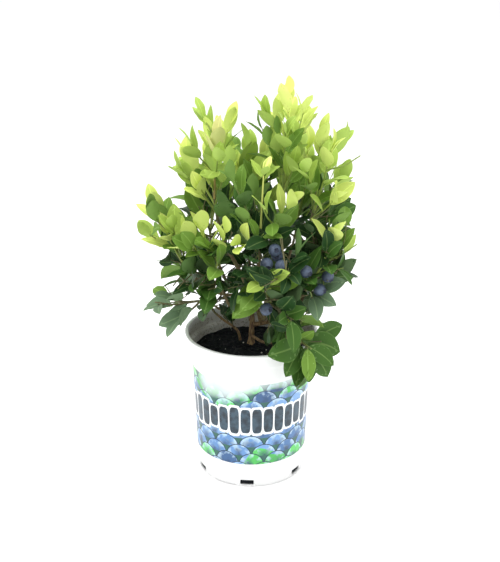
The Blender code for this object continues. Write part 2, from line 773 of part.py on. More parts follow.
def leaf_mesh(base, along, across, face, length):
    """Return a flattened octahedron whose root is sunk past the twig."""
    middle = base + along * (length * LEAF_BELLY)
    half = 0.5 * LEAF_WIDTH * length
    thick = 0.5 * LEAF_THICKNESS
    vertices = [base - along * LEAF_ROOT, base + along * length,
                middle + across * half, middle - across * half,
                middle + face * thick, middle - face * thick]
    faces = [(0, 2, 4), (2, 1, 4), (1, 3, 4), (3, 0, 4), (2, 0, 5), (1, 2, 5), (3, 1, 5), (0, 3, 5)]
    return vertices, faces


def fruit_mesh(place):
    """Return one berry: a small ball of few faces."""
    vertices = [place + (0, 0, FRUIT_RADIUS)]
    for ring in range(1, FRUIT_RINGS):
        polar = math.pi * ring / FRUIT_RINGS
        for side in range(FRUIT_SIDES):
            turn = math.tau * side / FRUIT_SIDES
            vertices.append(place + FRUIT_RADIUS * np.array((
                math.sin(polar) * math.cos(turn), math.sin(polar) * math.sin(turn), math.cos(polar))))
    vertices.append(place - (0, 0, FRUIT_RADIUS))
    last = len(vertices) - 1
    faces = []
    for side in range(FRUIT_SIDES):
        after = (side + 1) % FRUIT_SIDES
        faces.append((0, 1 + side, 1 + after))
        for ring in range(FRUIT_RINGS - 2):
            high, low = 1 + ring * FRUIT_SIDES, 1 + (ring + 1) * FRUIT_SIDES
            faces.append((high + side, low + side, low + after, high + after))
        faces.append((last, last - FRUIT_SIDES + after, last - FRUIT_SIDES + side))
    return vertices, faces


def cut(made, cutter):
    """Cut a piece with another and remove the cutter."""
    modifier = made.modifiers.new("cut", "BOOLEAN")
    modifier.operation = "DIFFERENCE"
    modifier.object = cutter
    apply_modifiers(made)
    bpy.data.objects.remove(cutter)


def apply_modifiers(made):
    """Replace a piece's mesh by the one its modifiers give."""
    graph = bpy.context.evaluated_depsgraph_get()
    mesh = bpy.data.meshes.new_from_object(made.evaluated_get(graph))
    made.modifiers.clear()
    made.data = mesh


def block(width, depth, height, turn, ring, low):
    """Return a block set out from the middle at a turn and a height."""
    out = np.array((math.sin(turn), -math.cos(turn), 0.0))
    side = np.array((math.cos(turn), math.sin(turn), 0.0))
    centre = out * ring + np.array((0.0, 0.0, low + 0.5 * height))
    vertices = [centre + side * (x * width) + out * (y * depth) + UP * (z * height)
                for x in (-0.5, 0.5) for y in (-0.5, 0.5) for z in (-0.5, 0.5)]
    faces = [(0, 1, 3, 2), (4, 6, 7, 5), (0, 4, 5, 1), (2, 3, 7, 6), (0, 2, 6, 4), (1, 5, 7, 3)]
    made = new_object("cutter", vertices, faces)
    face_outward(made)
    return made


def wall_radius(height):
    """Return the outer radius of the pot's body at a height."""
    share = (height - FOOT_HEIGHT) / (NECK_HEIGHT - FOOT_HEIGHT)
    return FOOT_RADIUS + (NECK_RADIUS - FOOT_RADIUS) * share


def build_pot():
    """Make the pot with its collar, lip, drain slots and foot arches."""
    inner_neck = NECK_RADIUS - WALL
    profile = (
        (0.0, 0.0), (BASE_RADIUS, 0.0), (FOOT_RADIUS, FOOT_HEIGHT),
        (NECK_RADIUS, NECK_HEIGHT), (COLLAR_RADIUS, NECK_HEIGHT + COLLAR_STEP),
        (COLLAR_RADIUS + COLLAR_DRAFT, POT_HEIGHT - LIP_HEIGHT),
        (LIP_RADIUS, POT_HEIGHT - LIP_HEIGHT + LIP_BEAD), (LIP_RADIUS, POT_HEIGHT - LIP_BEAD),
        (LIP_RADIUS - EDGE_ROUND, POT_HEIGHT), (MOUTH_RADIUS + 0.8, POT_HEIGHT),
        (MOUTH_RADIUS, POT_HEIGHT - EDGE_ROUND),
        (COLLAR_RADIUS - WALL - 0.3, NECK_HEIGHT + COLLAR_STEP),
        (inner_neck, NECK_HEIGHT - 0.6), (FOOT_RADIUS - WALL, FOOT_HEIGHT),
        (FOOT_RADIUS - WALL - EDGE_ROUND, FLOOR), (0.0, FLOOR),
    )
    pot = turned("pot", profile, POT_SIDES, material("pot_white", (0.86, 0.87, 0.86), 0.35))
    for index in range(SLOT_COUNT):
        turn = SLOT_TURN + math.tau * index / SLOT_COUNT
        cut(pot, block(SLOT_WIDTH, CUT_DEPTH, SLOT_HEIGHT, turn, FOOT_RADIUS, SLOT_BOTTOM))
    for index in range(ARCH_COUNT):
        turn = ARCH_TURN + math.tau * index / ARCH_COUNT
        ring = FOOT_RADIUS - CUT_INWARD + 0.5 * CUT_DEPTH
        cut(pot, block(ARCH_WIDTH, CUT_DEPTH, 2 * ARCH_HEIGHT, turn, ring, -ARCH_HEIGHT))
    shade_round(pot)
    return pot


def build_soil():
    """Make the soil that fills the pot, flat round the stems."""
    wall = WALL + GAP
    edge = SOIL_LEVEL - SOIL_EDGE_DROP
    profile = (
        (0.0, FLOOR + GAP), (FOOT_RADIUS - wall - WALL, FLOOR + GAP),
        (wall_radius(FOOT_HEIGHT + SOIL_TOE) - wall - GAP, FOOT_HEIGHT + SOIL_TOE),
        (wall_radius(edge) - wall, edge),
        (0.5 * (wall_radius(edge) + SOIL_FLAT_RADIUS), SOIL_LEVEL - SOIL_SHOULDER),
        (SOIL_FLAT_RADIUS, SOIL_LEVEL), (0.0, SOIL_LEVEL),
    )
    soil = turned("soil", profile, POT_SIDES, material("soil_dark", (0.020, 0.014, 0.010), 0.95))
    shade_round(soil)
    return soil


def build_limb(name, line, radii, bark):
    """Make one limb as a tapering tube with flat ends."""
    sides = TRUNK_SIDES if name == "trunk" else BOUGH_SIDES
    limb = new_object(name, *tube_mesh(line, radii, sides), bark)
    shade_round(limb, 60.0)
    return limb


def build_mass(mass, twigs, leaves, fruit):
    """Fuse a mass's twigs, leaves and fruit into one solid."""
    surface = material(mass.name + "_green", mass.colour, 0.45)
    stem = twigs[0]
    radii = np.linspace(stem.radius, stem.tip_radius, len(stem.points))
    made = new_object(mass.name, *tube_mesh(stem.points, radii, TWIG_SIDES), surface)
    group = bpy.data.collections.new("parts_of_" + mass.name)
    meshes = []
    for twig in twigs[1:]:
        radii = np.linspace(twig.radius, twig.tip_radius, len(twig.points))
        meshes.append(tube_mesh(twig.points, radii, TWIG_SIDES))
    meshes += [leaf_mesh(*leaf) for leaf in leaves]
    for stalks, places in fruit:
        for start, end in stalks:
            line = np.linspace(start, end, 2)
            meshes.append(tube_mesh(line, (STALK_RADIUS, STALK_RADIUS), TWIG_SIDES))
        meshes += [fruit_mesh(place) for place in places]
    for index, (vertices, faces) in enumerate(meshes):
        piece = new_object(f"{mass.name}_{index}", vertices, faces, surface)
        bpy.context.scene.collection.objects.unlink(piece)
        group.objects.link(piece)
        face_outward(piece)
    modifier = made.modifiers.new("fuse", "BOOLEAN")
    modifier.operation = "UNION"
    modifier.operand_type = "COLLECTION"
    modifier.collection = group
    apply_modifiers(made)
    for piece in list(group.objects):
        bpy.data.objects.remove(piece)
    bpy.data.collections.remove(group)
    keep_one_body(made)
    return made


def keep_one_body(made):
    """Fill any sealed hollow and drop any loose scrap."""
    work = bmesh.new()
    work.from_mesh(made.data)
    bmesh.ops.triangulate(work, faces=work.faces)
    bodies, seen = [], set()
    for first in work.faces:
        if first in seen:
            continue
        body, queue = [], [first]
        seen.add(first)
        while queue:
            face = queue.pop()
            body.append(face)
            for edge in face.edges:
                for other in edge.link_faces:
                    if other not in seen:
                        seen.add(other)
                        queue.append(other)
        volume = sum(face.verts[0].co.dot(face.verts[1].co.cross(face.verts[2].co)) for face in body)
        bodies.append((volume, body))
    bodies.sort(key=lambda item: item[0])
    for _, body in bodies[:-1]:
        corners = {corner for face in body for corner in face.verts}
        bmesh.ops.delete(work, geom=list(corners), context="VERTS")
    work.to_mesh(made.data)
    work.free()


def build():
    """Make every solid of the potted bush."""
    for existing in list(bpy.data.objects):
        bpy.data.objects.remove(existing)
    build_pot()
    build_soil()
    limbs, plant = grow_plant()
    bark = {"trunk": (0.20, 0.12, 0.06), "low_cane": (0.16, 0.15, 0.05)}
    for name, (line, radii) in limbs.items():
        colour = bark.get(name, (0.15, 0.13, 0.05))
        build_limb(name, line, radii, material(name + "_bark", colour, 0.8))
    for mass, twigs, leaves, fruit in plant:
        build_mass(mass, twigs, leaves, fruit)


build()
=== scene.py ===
"""Visual model of a blueberry bush that grows in a moulded nursery pot.

Sizes are written in millimetres and become metres where the meshes are made.
The origin is the middle of the pot's flat underside, +Z is up, and the side
that the camera sees looks towards -Y.
"""

import json
import logging
import math
import random
from dataclasses import dataclass, field
from enum import Enum
from typing import Optional, Sequence, Union

import bmesh
import bpy
import numpy as np
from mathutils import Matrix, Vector, noise

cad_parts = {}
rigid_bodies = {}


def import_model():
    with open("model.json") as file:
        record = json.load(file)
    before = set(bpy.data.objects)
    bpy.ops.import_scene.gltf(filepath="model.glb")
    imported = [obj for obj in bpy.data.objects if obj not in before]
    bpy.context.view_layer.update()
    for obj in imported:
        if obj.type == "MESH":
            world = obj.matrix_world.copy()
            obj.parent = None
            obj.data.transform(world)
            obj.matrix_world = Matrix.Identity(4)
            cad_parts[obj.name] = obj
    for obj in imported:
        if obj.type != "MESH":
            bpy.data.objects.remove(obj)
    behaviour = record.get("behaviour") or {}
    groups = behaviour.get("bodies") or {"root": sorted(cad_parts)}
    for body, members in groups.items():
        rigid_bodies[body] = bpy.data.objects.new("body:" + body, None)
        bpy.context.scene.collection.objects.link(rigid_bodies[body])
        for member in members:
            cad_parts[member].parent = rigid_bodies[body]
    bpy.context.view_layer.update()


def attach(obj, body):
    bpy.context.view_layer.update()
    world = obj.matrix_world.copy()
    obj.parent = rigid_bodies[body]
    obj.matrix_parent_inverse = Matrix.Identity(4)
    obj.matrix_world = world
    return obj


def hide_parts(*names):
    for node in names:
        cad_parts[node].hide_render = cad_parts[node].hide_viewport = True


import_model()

Array = np.ndarray
Colour = tuple[float, float, float]
Number = Union["Expr", float]

log = logging.getLogger("bush")
MM = 0.001
GAP = 0.3
UP = np.array((0.0, 0.0, 1.0))
SPIRAL = math.radians(137.5)
CURVE_PULL = 0.38
NEARLY_ALONG = 0.2
TINY = 1e-9


def blend(first: Colour, second: Colour, share: float) -> Colour:
    """Return the colour that lies a share of the way between two others."""
    return tuple(a + (b - a) * share for a, b in zip(first, second))


def scaled(colour: Colour, factor: float) -> Colour:
    """Return a colour made brighter or darker by a factor."""
    return tuple(min(1.0, part * factor) for part in colour)


def unit(vector: Array) -> Array:
    """Return the vector at a length of one."""
    return vector / np.linalg.norm(vector)


def line_length(points: Array) -> float:
    """Return the length of a line of points."""
    return float(np.linalg.norm(np.diff(points, axis=0), axis=1).sum())


def turns(count: int) -> Array:
    """Return even turns once round a circle."""
    return np.arange(count) * math.tau / count


def placed(name: str, data: bpy.types.ID) -> bpy.types.Object:
    """Make an object and put it in the scene.

    Args:
        name: The object's name.
        data: Its mesh, light or camera.

    Returns:
        The object.
    """
    made = bpy.data.objects.new(name, data)
    bpy.context.scene.collection.objects.link(made)
    return made


class Expr:
    """A socket of a shader graph that takes part in arithmetic."""

    def __init__(self, graph: "Graph", socket: bpy.types.NodeSocket) -> None:
        """Keep the graph and the socket."""
        self.graph = graph
        self.socket = socket

    def math(self, operation: str, *values: Number) -> "Expr":
        """Return what a Math node makes of some values.

        Args:
            operation: The Math node's operation.
            values: The numbers or sockets that it works on, in order.

        Returns:
            The node's result.
        """
        return self.graph.add("ShaderNodeMath", {"operation": operation}, dict(enumerate(values)))

    def size(self) -> "Expr":
        """Return the value without its sign."""
        return self.math("ABSOLUTE", self)

    def part(self) -> "Expr":
        """Return what is left above the whole number."""
        return self.math("FRACT", self)

    def whole(self) -> "Expr":
        """Return the whole number below."""
        return self.math("FLOOR", self)

    def held(self) -> "Expr":
        """Return the value kept between nought and one."""
        return self.graph.add("ShaderNodeClamp", {}, {0: self})

    def pick(self, first: Number, second: Number) -> "Expr":
        """Return the first value where this is one, and the second where nought."""
        return self * first + (1.0 - self) * second

    def __add__(self, other: Number) -> "Expr":
        """Add a number or another socket."""
        return self.math("ADD", self, other)

    __radd__ = __add__

    def __mul__(self, other: Number) -> "Expr":
        """Multiply by a number or another socket."""
        return self.math("MULTIPLY", self, other)

    __rmul__ = __mul__

    def __sub__(self, other: Number) -> "Expr":
        """Take away a number or another socket."""
        return self.math("SUBTRACT", self, other)

    def __rsub__(self, other: Number) -> "Expr":
        """Take this away from a number."""
        return self.math("SUBTRACT", other, self)

    def __truediv__(self, other: Number) -> "Expr":
        """Divide by a number or another socket."""
        return self.math("DIVIDE", self, other)

    def __rtruediv__(self, other: Number) -> "Expr":
        """Divide a number by this."""
        return self.math("DIVIDE", other, self)

    def __pow__(self, other: Number) -> "Expr":
        """Raise to a power."""
        return self.math("POWER", self, other)

    def __lt__(self, other: Number) -> "Expr":
        """Give one where this is less, and nought elsewhere."""
        return self.math("LESS_THAN", self, other)

    def __gt__(self, other: Number) -> "Expr":
        """Give one where this is more, and nought elsewhere."""
        return self.math("GREATER_THAN", self, other)


class Graph:
    """A material's nodes, made one by one round its Principled shader."""

    def __init__(self, name: str, **values: Union[float, Colour]) -> None:
        """Make a material and set the shader's own sockets.

        Args:
            name: The material's name.
            values: Socket names, with _ for a space, and their values.
        """
        self.material = bpy.data.materials.new(name)
        self.material.use_nodes = True
        self.tree = self.material.node_tree
        self.shader = self.tree.nodes["Principled BSDF"]
        for socket, value in values.items():
            self.feed(self.shader.inputs[socket.replace("_", " ")], value)

    def feed(self, socket: bpy.types.NodeSocket, value: Union[Number, Sequence[float]]) -> None:
        """Set a socket's value, or link an expression to it.

        Args:
            socket: The socket to feed.
            value: A number, a colour, a vector or an expression.
        """
        if isinstance(value, Expr):
            self.tree.links.new(value.socket, socket)
        elif socket.type == "RGBA":
            socket.default_value = (*value, 1.0)
        else:
            socket.default_value = value

    def add(self, kind: str, settings: Optional[dict] = None, inputs: Optional[dict] = None,
            output: int = 0) -> Expr:
        """Add a node.

        Args:
            kind: The node's type.
            settings: What is set on the node first; stops are a ramp's.
            inputs: The values or links of its sockets, by name or number.
            output: The number of the output that is wanted.

        Returns:
            That output.
        """
        node = self.tree.nodes.new(kind)
        for name, value in (settings or {}).items():
            if name == "stops":
                for index, (place, colour) in enumerate(value):
                    stops = node.color_ramp.elements
                    stop = stops[index] if index < 2 else stops.new(place)
                    stop.position = place
                    stop.color = (*colour, 1.0)
            else:
                setattr(node, name, value)
        for name, value in (inputs or {}).items():
            self.feed(node.inputs[name], value)
        return Expr(self, node.outputs[output])

    def mix(self, share: Number, first: Union[Expr, Colour], second: Union[Expr, Colour]) -> Expr:
        """Mix two colours by a share.

        Args:
            share: How much of the second colour shows.
            first: The colour at nought.
            second: The colour at one.

        Returns:
            The mixed colour.
        """
        return self.add("ShaderNodeMix", {"data_type": "RGBA"}, {0: share, 6: first, 7: second}, 2)

    def noise(self, place: Expr, scale: float, detail: float = 3.0) -> Expr:
        """Return cloudy noise from nought to one.

        Args:
            place: The coordinates that it is read at.
            scale: How many clouds lie in a metre.
            detail: How many finer layers are added.

        Returns:
            The noise as a value.
        """
        inputs = {"Vector": place, "Scale": scale, "Detail": detail}
        return self.add("ShaderNodeTexNoise", {}, inputs)

    def ramp(self, value: Number, *stops: tuple[float, Colour]) -> Expr:
        """Return a colour ramp's colour at a value."""
        return self.add("ShaderNodeValToRGB", {"stops": stops}, {0: value})

    def mask(self, value: Number, low: float, high: float) -> Expr:
        """Return a ramp from black to white between two values."""
        return self.ramp(value, (low, (0.0, 0.0, 0.0)), (high, (1.0, 1.0, 1.0)))

    def axis(self, place: Expr, number: int) -> Expr:
        """Return a place's x, y or z by its number."""
        return self.add("ShaderNodeSeparateXYZ", {}, {0: place}, number)

    def bump(self, height: Expr, strength: float, distance: float) -> None:
        """Feed a height through a Bump node to the shader's Normal.

        Args:
            height: The height from nought to one.
            strength: How strongly it shows.
            distance: How many metres high one is.
        """
        inputs = {"Strength": strength, "Distance": distance, "Height": height}
        self.out("Normal", self.add("ShaderNodeBump", {}, inputs))

    def out(self, socket: str, value: Expr) -> None:
        """Link an expression to one of the shader's sockets."""
        self.feed(self.shader.inputs[socket], value)

    def place(self) -> Expr:
        """Return the place on the object, in metres."""
        return self.add("ShaderNodeTexCoord", {}, {}, 3)


class Tint(Enum):
    """The colours of the leaves, from the youngest to the oldest; the pale tints high on the crown
    and the dark ones low down and inside it also serve as painted light and painted shade.
    """

    YOUNG = (0.72, 0.78, 0.22)
    BLUSH = (0.58, 0.58, 0.22)
    TENDER = (0.56, 0.66, 0.16)
    FRESH = (0.345, 0.48, 0.088)
    MID = (0.130, 0.240, 0.034)
    MATURE = (0.047, 0.116, 0.018)
    DEEP = (0.014, 0.046, 0.010)
    BLUISH = (0.135, 0.215, 0.120)

    def older(self) -> "Tint":
        """Return the tint of leaves further down the same shoot."""
        return {Tint.YOUNG: Tint.TENDER, Tint.BLUSH: Tint.FRESH, Tint.TENDER: Tint.FRESH,
                Tint.FRESH: Tint.MID, Tint.MID: Tint.MATURE,
                Tint.BLUISH: Tint.BLUISH}.get(self, Tint.DEEP)

    @staticmethod
    def sheltered(place: "Array") -> "Tint":
        """Return the tint of leaves away from the shoots' ends, by their age and painted shade.

        Args:
            place: The middle of the leaf.

        Returns:
            A darker tint lower down and further inside: partly older leaves, partly painted shade.
        """
        # Lower rungs are darker: older leaves there, and painted shade below the crown's lit top.
        ladder = (Tint.TENDER, Tint.FRESH, Tint.MID, Tint.MATURE, Tint.DEEP)
        rung = sum(place[2] < height for height in (408.0, 354.0, 306.0, 252.0))
        ring = math.hypot(place[0], place[1])
        if rung == 4 and ring > 84.0:
            return Tint.BLUISH
        # Leaves in the crown's heart go two rungs darker: painted shade.
        return ladder[min(rung + 2 * (ring < 62.0 and place[2] < 352.0), 4)]

    def darker(self, other: "Tint") -> "Tint":
        """Return the darker of two tints."""
        return self if sum(self.value) < sum(other.value) else other


TINTS = {"Y": Tint.YOUNG, "P": Tint.BLUSH, "T": Tint.TENDER, "F": Tint.FRESH, "M": Tint.MID,
         "A": Tint.MATURE, "D": Tint.DEEP, "B": Tint.BLUISH}


@dataclass(frozen=True)
class LeafFinish:
    """The four plain colours of a leaf: blade, midrib, margin and underside; the margin's slightly
    lighter colour is painted light, for light shining through the thin edge.
    """

    tint: Tint
    roughness: float = 0.48
    specular: float = 0.13

    def make(self) -> list[bpy.types.Material]:
        """Return the four materials in that order.

        Returns:
            The materials, made once for a tint.
        """
        green = self.tint.value
        colours = (green, blend(scaled(green, 1.25), (0.60, 0.75, 0.28), 0.10),
                   # Margin: a little lighter than the blade, painted light for the glow of the thin
                   # edge.
                   blend(scaled(green, 1.15), (0.60, 0.75, 0.28), 0.03),
                   blend(scaled(green, 1.25), (0.42, 0.55, 0.28), 0.14))
        made = []
        for part, colour in zip(("blade", "rib", "margin", "under"), colours):
            name = f"leaf_{self.tint.name.lower()}_{part}"
            found = bpy.data.materials.get(name)
            rough = self.roughness + (0.2 if part == "under" else 0.0)
            made.append(found or Graph(name, Base_Color=colour, Roughness=rough,
                                       Specular_IOR_Level=self.specular).material)
        return made


@dataclass(frozen=True)
class TwigFinish:
    """The rind of a twig: the same colour all over, by the spray's tint, which follows its age and
    partly painted shade.
    """

    tint: Tint

    def make(self) -> bpy.types.Material:
        """Return the rind's material.

        Returns:
            The material.
        """
        rinds = {Tint.YOUNG: (0.58, 0.63, 0.15), Tint.BLUSH: (0.40, 0.30, 0.10),
                 Tint.TENDER: (0.34, 0.43, 0.09), Tint.FRESH: (0.22, 0.30, 0.06),
                 Tint.MID: (0.17, 0.21, 0.055)}
        name = f"rind_{self.tint.name.lower()}"
        found = bpy.data.materials.get(name)
        colour = rinds.get(self.tint, (0.13, 0.12, 0.05))
        return found or Graph(name, Base_Color=colour, Roughness=0.55).material


@dataclass(frozen=True)
class BarkFinish:
    """Bark: tan on the old foot of the bush and greener on its boughs."""

    old: Colour = (0.37, 0.25, 0.125)
    dark: Colour = (0.14, 0.085, 0.045)
    green: Colour = (0.105, 0.115, 0.038)
    fibres: tuple = (900.0, 900.0, 120.0)
    clouds: float = 90.0
    green_from: float = 0.188
    green_rate: float = 45.0
    streaks: tuple = (0.40, 0.62)
    relief: tuple = (0.7, 0.0006)

    def make(self) -> bpy.types.Material:
        """Return the bark's material.

        Returns:
            The material.
        """
        graph = Graph("bark", Roughness=0.85)
        place = graph.place()
        fibres = graph.add("ShaderNodeVectorMath", {"operation": "MULTIPLY"},
                           {0: place, 1: self.fibres})
        grain = graph.noise(fibres, 1.0, 4.0)
        clouds = graph.noise(place, self.clouds)
        height = graph.axis(place, 2)
        young = ((height - self.green_from) * self.green_rate + (clouds - 0.5)).held()
        colour = graph.mix(young, self.old, self.green)
        streak = graph.mask(grain, *self.streaks)
        graph.out("Base Color", graph.mix(streak, self.dark, colour))
        graph.bump(grain, *self.relief)
        return graph.material


@dataclass(frozen=True)
class PlasticFinish:
    """White moulded plastic with faint flow marks and a little dirt; the inner wall also gets
    painted shade, a dirt colour that darkens it towards the soil.
    """

    white: Colour = (0.84, 0.85, 0.85)
    # Dirt colour, also mixed in on the inner wall as painted shade.
    dirt: Colour = (0.34, 0.315, 0.26)
    clouds: float = 34.0
    specks: float = 420.0
    # Height and rate of the inner wall's darkening towards the soil: dirt and painted shade.
    stain: tuple = (0.1835, 130.0)
    splash: tuple = (0.016, 70.0)
    relief: tuple = (0.12, 0.0003)

    def make(self, name: str, grime_and_shade: bool) -> bpy.types.Material:
        """Return the plastic's material.

        Args:
            name: The material's name.
            grime_and_shade: True for the inner wall, which the soil has stained and which is
                darkened towards the soil with painted shade.

        Returns:
            The material.
        """
        graph = Graph(name, Specular_IOR_Level=0.5)
        place = graph.place()
        clouds = graph.noise(place, self.clouds, 4.0)
        specks = graph.noise(place, self.specks)
        height = graph.axis(place, 2)
        # Inside, the darkening towards the soil is partly real dirt and partly painted shade;
        # outside, a little dirt near the foot.
        top, rate = self.stain if grime_and_shade else self.splash
        low = ((top - height) * rate).held()
        if grime_and_shade:
            stain = low * (0.25 + clouds * 0.75) + (specks > 0.58) * 0.45 * low
        else:
            stain = low * clouds * 0.22 + (specks > 0.70) * 0.10
        share = stain.held()
        graph.out("Base Color", graph.mix(share, self.white, self.dirt))
        graph.out("Roughness", 0.30 + clouds * 0.16 + share * 0.3)
        graph.bump(specks, *self.relief)
        return graph.material


@dataclass(frozen=True)
class PrintFinish:
    """A printed film round the pot: blue scales, green scales, a dark chain."""

    low: float = 33.0
    high: float = 144.0
    around: int = 14
    scale_radius: float = 16.2
    row: float = 12.4
    links: int = 32
    link_middle: float = 0.55
    link_half: float = 0.122
    link_spread: float = 0.045
    green_middle: float = 0.42
    blues: tuple = ((0.0, (0.03, 0.09, 0.22)), (0.5, (0.09, 0.23, 0.50)),
                    (1.0, (0.25, 0.46, 0.80)))
    greens: tuple = ((0.0, (0.02, 0.24, 0.05)), (1.0, (0.12, 0.66, 0.13)))
    gaps: tuple = ((0.01, 0.05, 0.06), (0.04, 0.20, 0.12))
    inks: tuple = ((0.006, 0.016, 0.028), (0.035, 0.075, 0.110))
    light: Colour = (0.62, 0.82, 0.97)
    shadow: Colour = (0.015, 0.045, 0.11)
    outline: Colour = (0.010, 0.030, 0.075)
    bleached: Colour = (0.84, 0.92, 0.95)
    border: Colour = (0.86, 0.89, 0.91)

    def scales(self, graph: Graph, turn: Expr, rise: Expr, shift: float) -> tuple[Expr, ...]:
        """Return one half of the scales, every other row of them.

        Args:
            graph: The material's graph.
            turn: The place round the pot, in scales.
            rise: The place up the pot, in pairs of rows.
            shift: Nought or a half, which tells the two halves apart.

        Returns:
            The distance from the scale's foot in radii, the height above that
            foot, and a number of the scale's own.
        """
        across, upward = turn + shift, rise + shift
        above = upward.part()
        cell = graph.add("ShaderNodeCombineXYZ", {}, {0: across.whole(), 1: upward.whole()})
        own = graph.add("ShaderNodeTexWhiteNoise", {"noise_dimensions": "2D"}, {0: cell})
        beside = (across.part() - 0.5) * 2.0
        lift = above * (2.0 * self.row / self.scale_radius)
        return (beside * beside + lift * lift) ** 0.5, above, own

    def body(self, graph: Graph, around: Expr, rise: Expr, wash: Expr) -> Expr:
        """Return the colour of the scales, which fade out at the top.

        Args:
            graph: The material's graph.
            around: The place round the pot, from nought to one.
            rise: The place up the pot, in millimetres over the film's foot.
            wash: Fine clouds, like thin paint.

        Returns:
            The colour.
        """
        turn, rows = around * self.around, rise / (2.0 * self.row)
        height = rise / (self.high - self.low)
        far_one, above_one, own_one = self.scales(graph, turn, rows, 0.0)
        far_two, above_two, own_two = self.scales(graph, turn, rows, 0.5)
        front = above_one > above_two
        far_front = front.pick(far_one, far_two)
        covered = far_front < 1.0
        far = covered.pick(far_front, front.pick(far_two, far_one))
        own = covered.pick(front.pick(own_one, own_two), front.pick(own_two, own_one))
        drift = graph.noise(graph.place(), 15.0, 1.0)
        blue, green = graph.ramp(own, *self.blues), graph.ramp(own, *self.greens)
        edge = (height - self.green_middle).size()
        body = graph.mix((edge + drift * 0.9 + own * 0.25) > 0.98, blue, green)
        gloss = ((wash - 0.49) * 7.0 + (far - 0.60) * 1.2).held() * 0.68
        shade = (0.90 - far * 1.4 + (wash - 0.5) * 3.0).held() * 0.9
        bleach = ((height - 0.92) * 5.0 + (drift - 0.50) * 5.0).held()
        for share, colour in (
                (gloss, self.light), (shade, self.shadow),
                (((far > 0.93) * (far < 1.0)).held(), self.outline),
                (far > 1.0, graph.mix(wash, *self.gaps)),
                (bleach * (height > 0.72), self.bleached)):
            body = graph.mix(share, body, colour)
        return body

    def make(self) -> bpy.types.Material:
        """Return the film's material, with the chain over the scales.

        Returns:
            The material.
        """
        graph = Graph("printed_film", Coat_Weight=0.2)
        place = graph.place()
        x, y, z = (graph.axis(place, number) for number in range(3))
        around = x.math("ARCTAN2", y, x) / math.tau + 0.5
        rise = z / MM - self.low
        height = rise / (self.high - self.low)
        wash = graph.noise(place, 120.0, 5.0)
        link = around * self.links
        tall = graph.add("ShaderNodeTexWhiteNoise", {"noise_dimensions": "1D"},
                         {"W": link.whole()})
        beside = (link.part() - 0.5).size() * 2.0
        half = self.link_half + tall * self.link_spread
        above = (height - self.link_middle).size() / half
        rim = (beside * 0.90) ** 6.0 + (above / 1.18) ** 6.0
        bead = (beside / 0.86) ** 4.0 + above ** 4.0
        printed = graph.mix(rim < 1.0, self.body(graph, around, rise, wash), self.border)
        ink = graph.mix(((wash - 0.5) * 4.0 + 0.5).held(), *self.inks)
        graph.out("Base Color", graph.mix(bead < 1.0, printed, ink))
        graph.out("Roughness", 0.26 + graph.noise(place, 60.0) * 0.12)
        return graph.material


@dataclass(frozen=True)
class SoilFinish:
    """Damp bark mix: nearly black, with brown crumbs."""

    black: Colour = (0.0012, 0.0030, 0.0055)
    brown: Colour = (0.005, 0.0075, 0.0095)

    def make(self) -> bpy.types.Material:
        """Return the soil's material.

        Returns:
            The material.
        """
        graph = Graph("soil_mix", Specular_IOR_Level=0.25)
        place = graph.place()
        crumbs = graph.noise(place, 260.0, 6.0)
        damp = graph.noise(place, 45.0)
        share = graph.mask(crumbs, 0.42, 0.72)
        graph.out("Base Color", graph.mix(share, self.black, self.brown))
        graph.out("Roughness", 0.70 + damp * 0.30)
        graph.bump(crumbs, 0.9, 0.0015)
        return graph.material


@dataclass(frozen=True)
class BerryFinish:
    """A ripe berry: dark blue under a pale waxy bloom."""

    skin: Colour = (0.010, 0.016, 0.036)
    bloom: Colour = (0.115, 0.155, 0.235)

    def make(self) -> list[bpy.types.Material]:
        """Return the materials of the skin and of the crown.

        Returns:
            The two materials.
        """
        graph = Graph("berry_skin")
        place = graph.place()
        wax = graph.noise(place, 130.0)
        rubbed = graph.noise(place, 420.0, 2.0)
        share = (wax * 1.7 - 0.30 + (rubbed - 0.5) * 0.6).held()
        graph.out("Base Color", graph.mix(share, self.skin, self.bloom))
        graph.out("Roughness", 0.38 + share * 0.30)
        crown = Graph("berry_crown", Base_Color=(0.035, 0.045, 0.075), Roughness=0.8)
        return [graph.material, crown.material]


@dataclass(frozen=True)
class PlainFinish:
    """A finish of one colour all over."""

    name: str
    colour: Colour
    roughness: float

    def make(self) -> bpy.types.Material:
        """Return the finish's material."""
        return Graph(self.name, Base_Color=self.colour, Roughness=self.roughness).material


@dataclass
class MeshPile:
    """Points and faces of many small shapes that become one joined mesh."""

    points: list[Array] = field(default_factory=list)
    faces: list[tuple[int, ...]] = field(default_factory=list)
    slots: list[int] = field(default_factory=list)
    count: int = 0

    def add(self, points: Array, faces: Sequence[Sequence[int]],
            slots: Union[int, Sequence[int]] = 0) -> None:
        """Add one shape.

        Args:
            points: Its points in millimetres.
            faces: Its faces as numbers of its own points.
            slots: The material's number, for all its faces or for each.
        """
        self.points.append(np.asarray(points, dtype=float))
        first = self.count
        self.faces += [tuple(first + corner for corner in face) for face in faces]
        self.slots += [slots] * len(faces) if isinstance(slots, int) else list(slots)
        self.count += len(points)

    def make(self, name: str, materials: Sequence[bpy.types.Material], sharp: float,
             slot: str, *nodes: str) -> bpy.types.Object:
        """Make the joined mesh as a piece of the object.

        Args:
            name: The piece's name.
            materials: Its materials, in the order of their numbers.
            sharp: The angle in degrees past which an edge stays sharp.
            slot: The record's slot, which is passed on to finish_piece.
            nodes: The solids that it stands for.

        Returns:
            The piece.
        """
        mesh = bpy.data.meshes.new(name)
        points = np.vstack(self.points) * MM
        mesh.from_pydata(points.tolist(), [], self.faces)
        for material in materials:
            mesh.materials.append(material)
        mesh.polygons.foreach_set("material_index", self.slots)
        mesh.shade_smooth()
        mesh.set_sharp_from_angle(angle=math.radians(sharp))
        return finish_piece(placed(name, mesh), slot, *nodes)


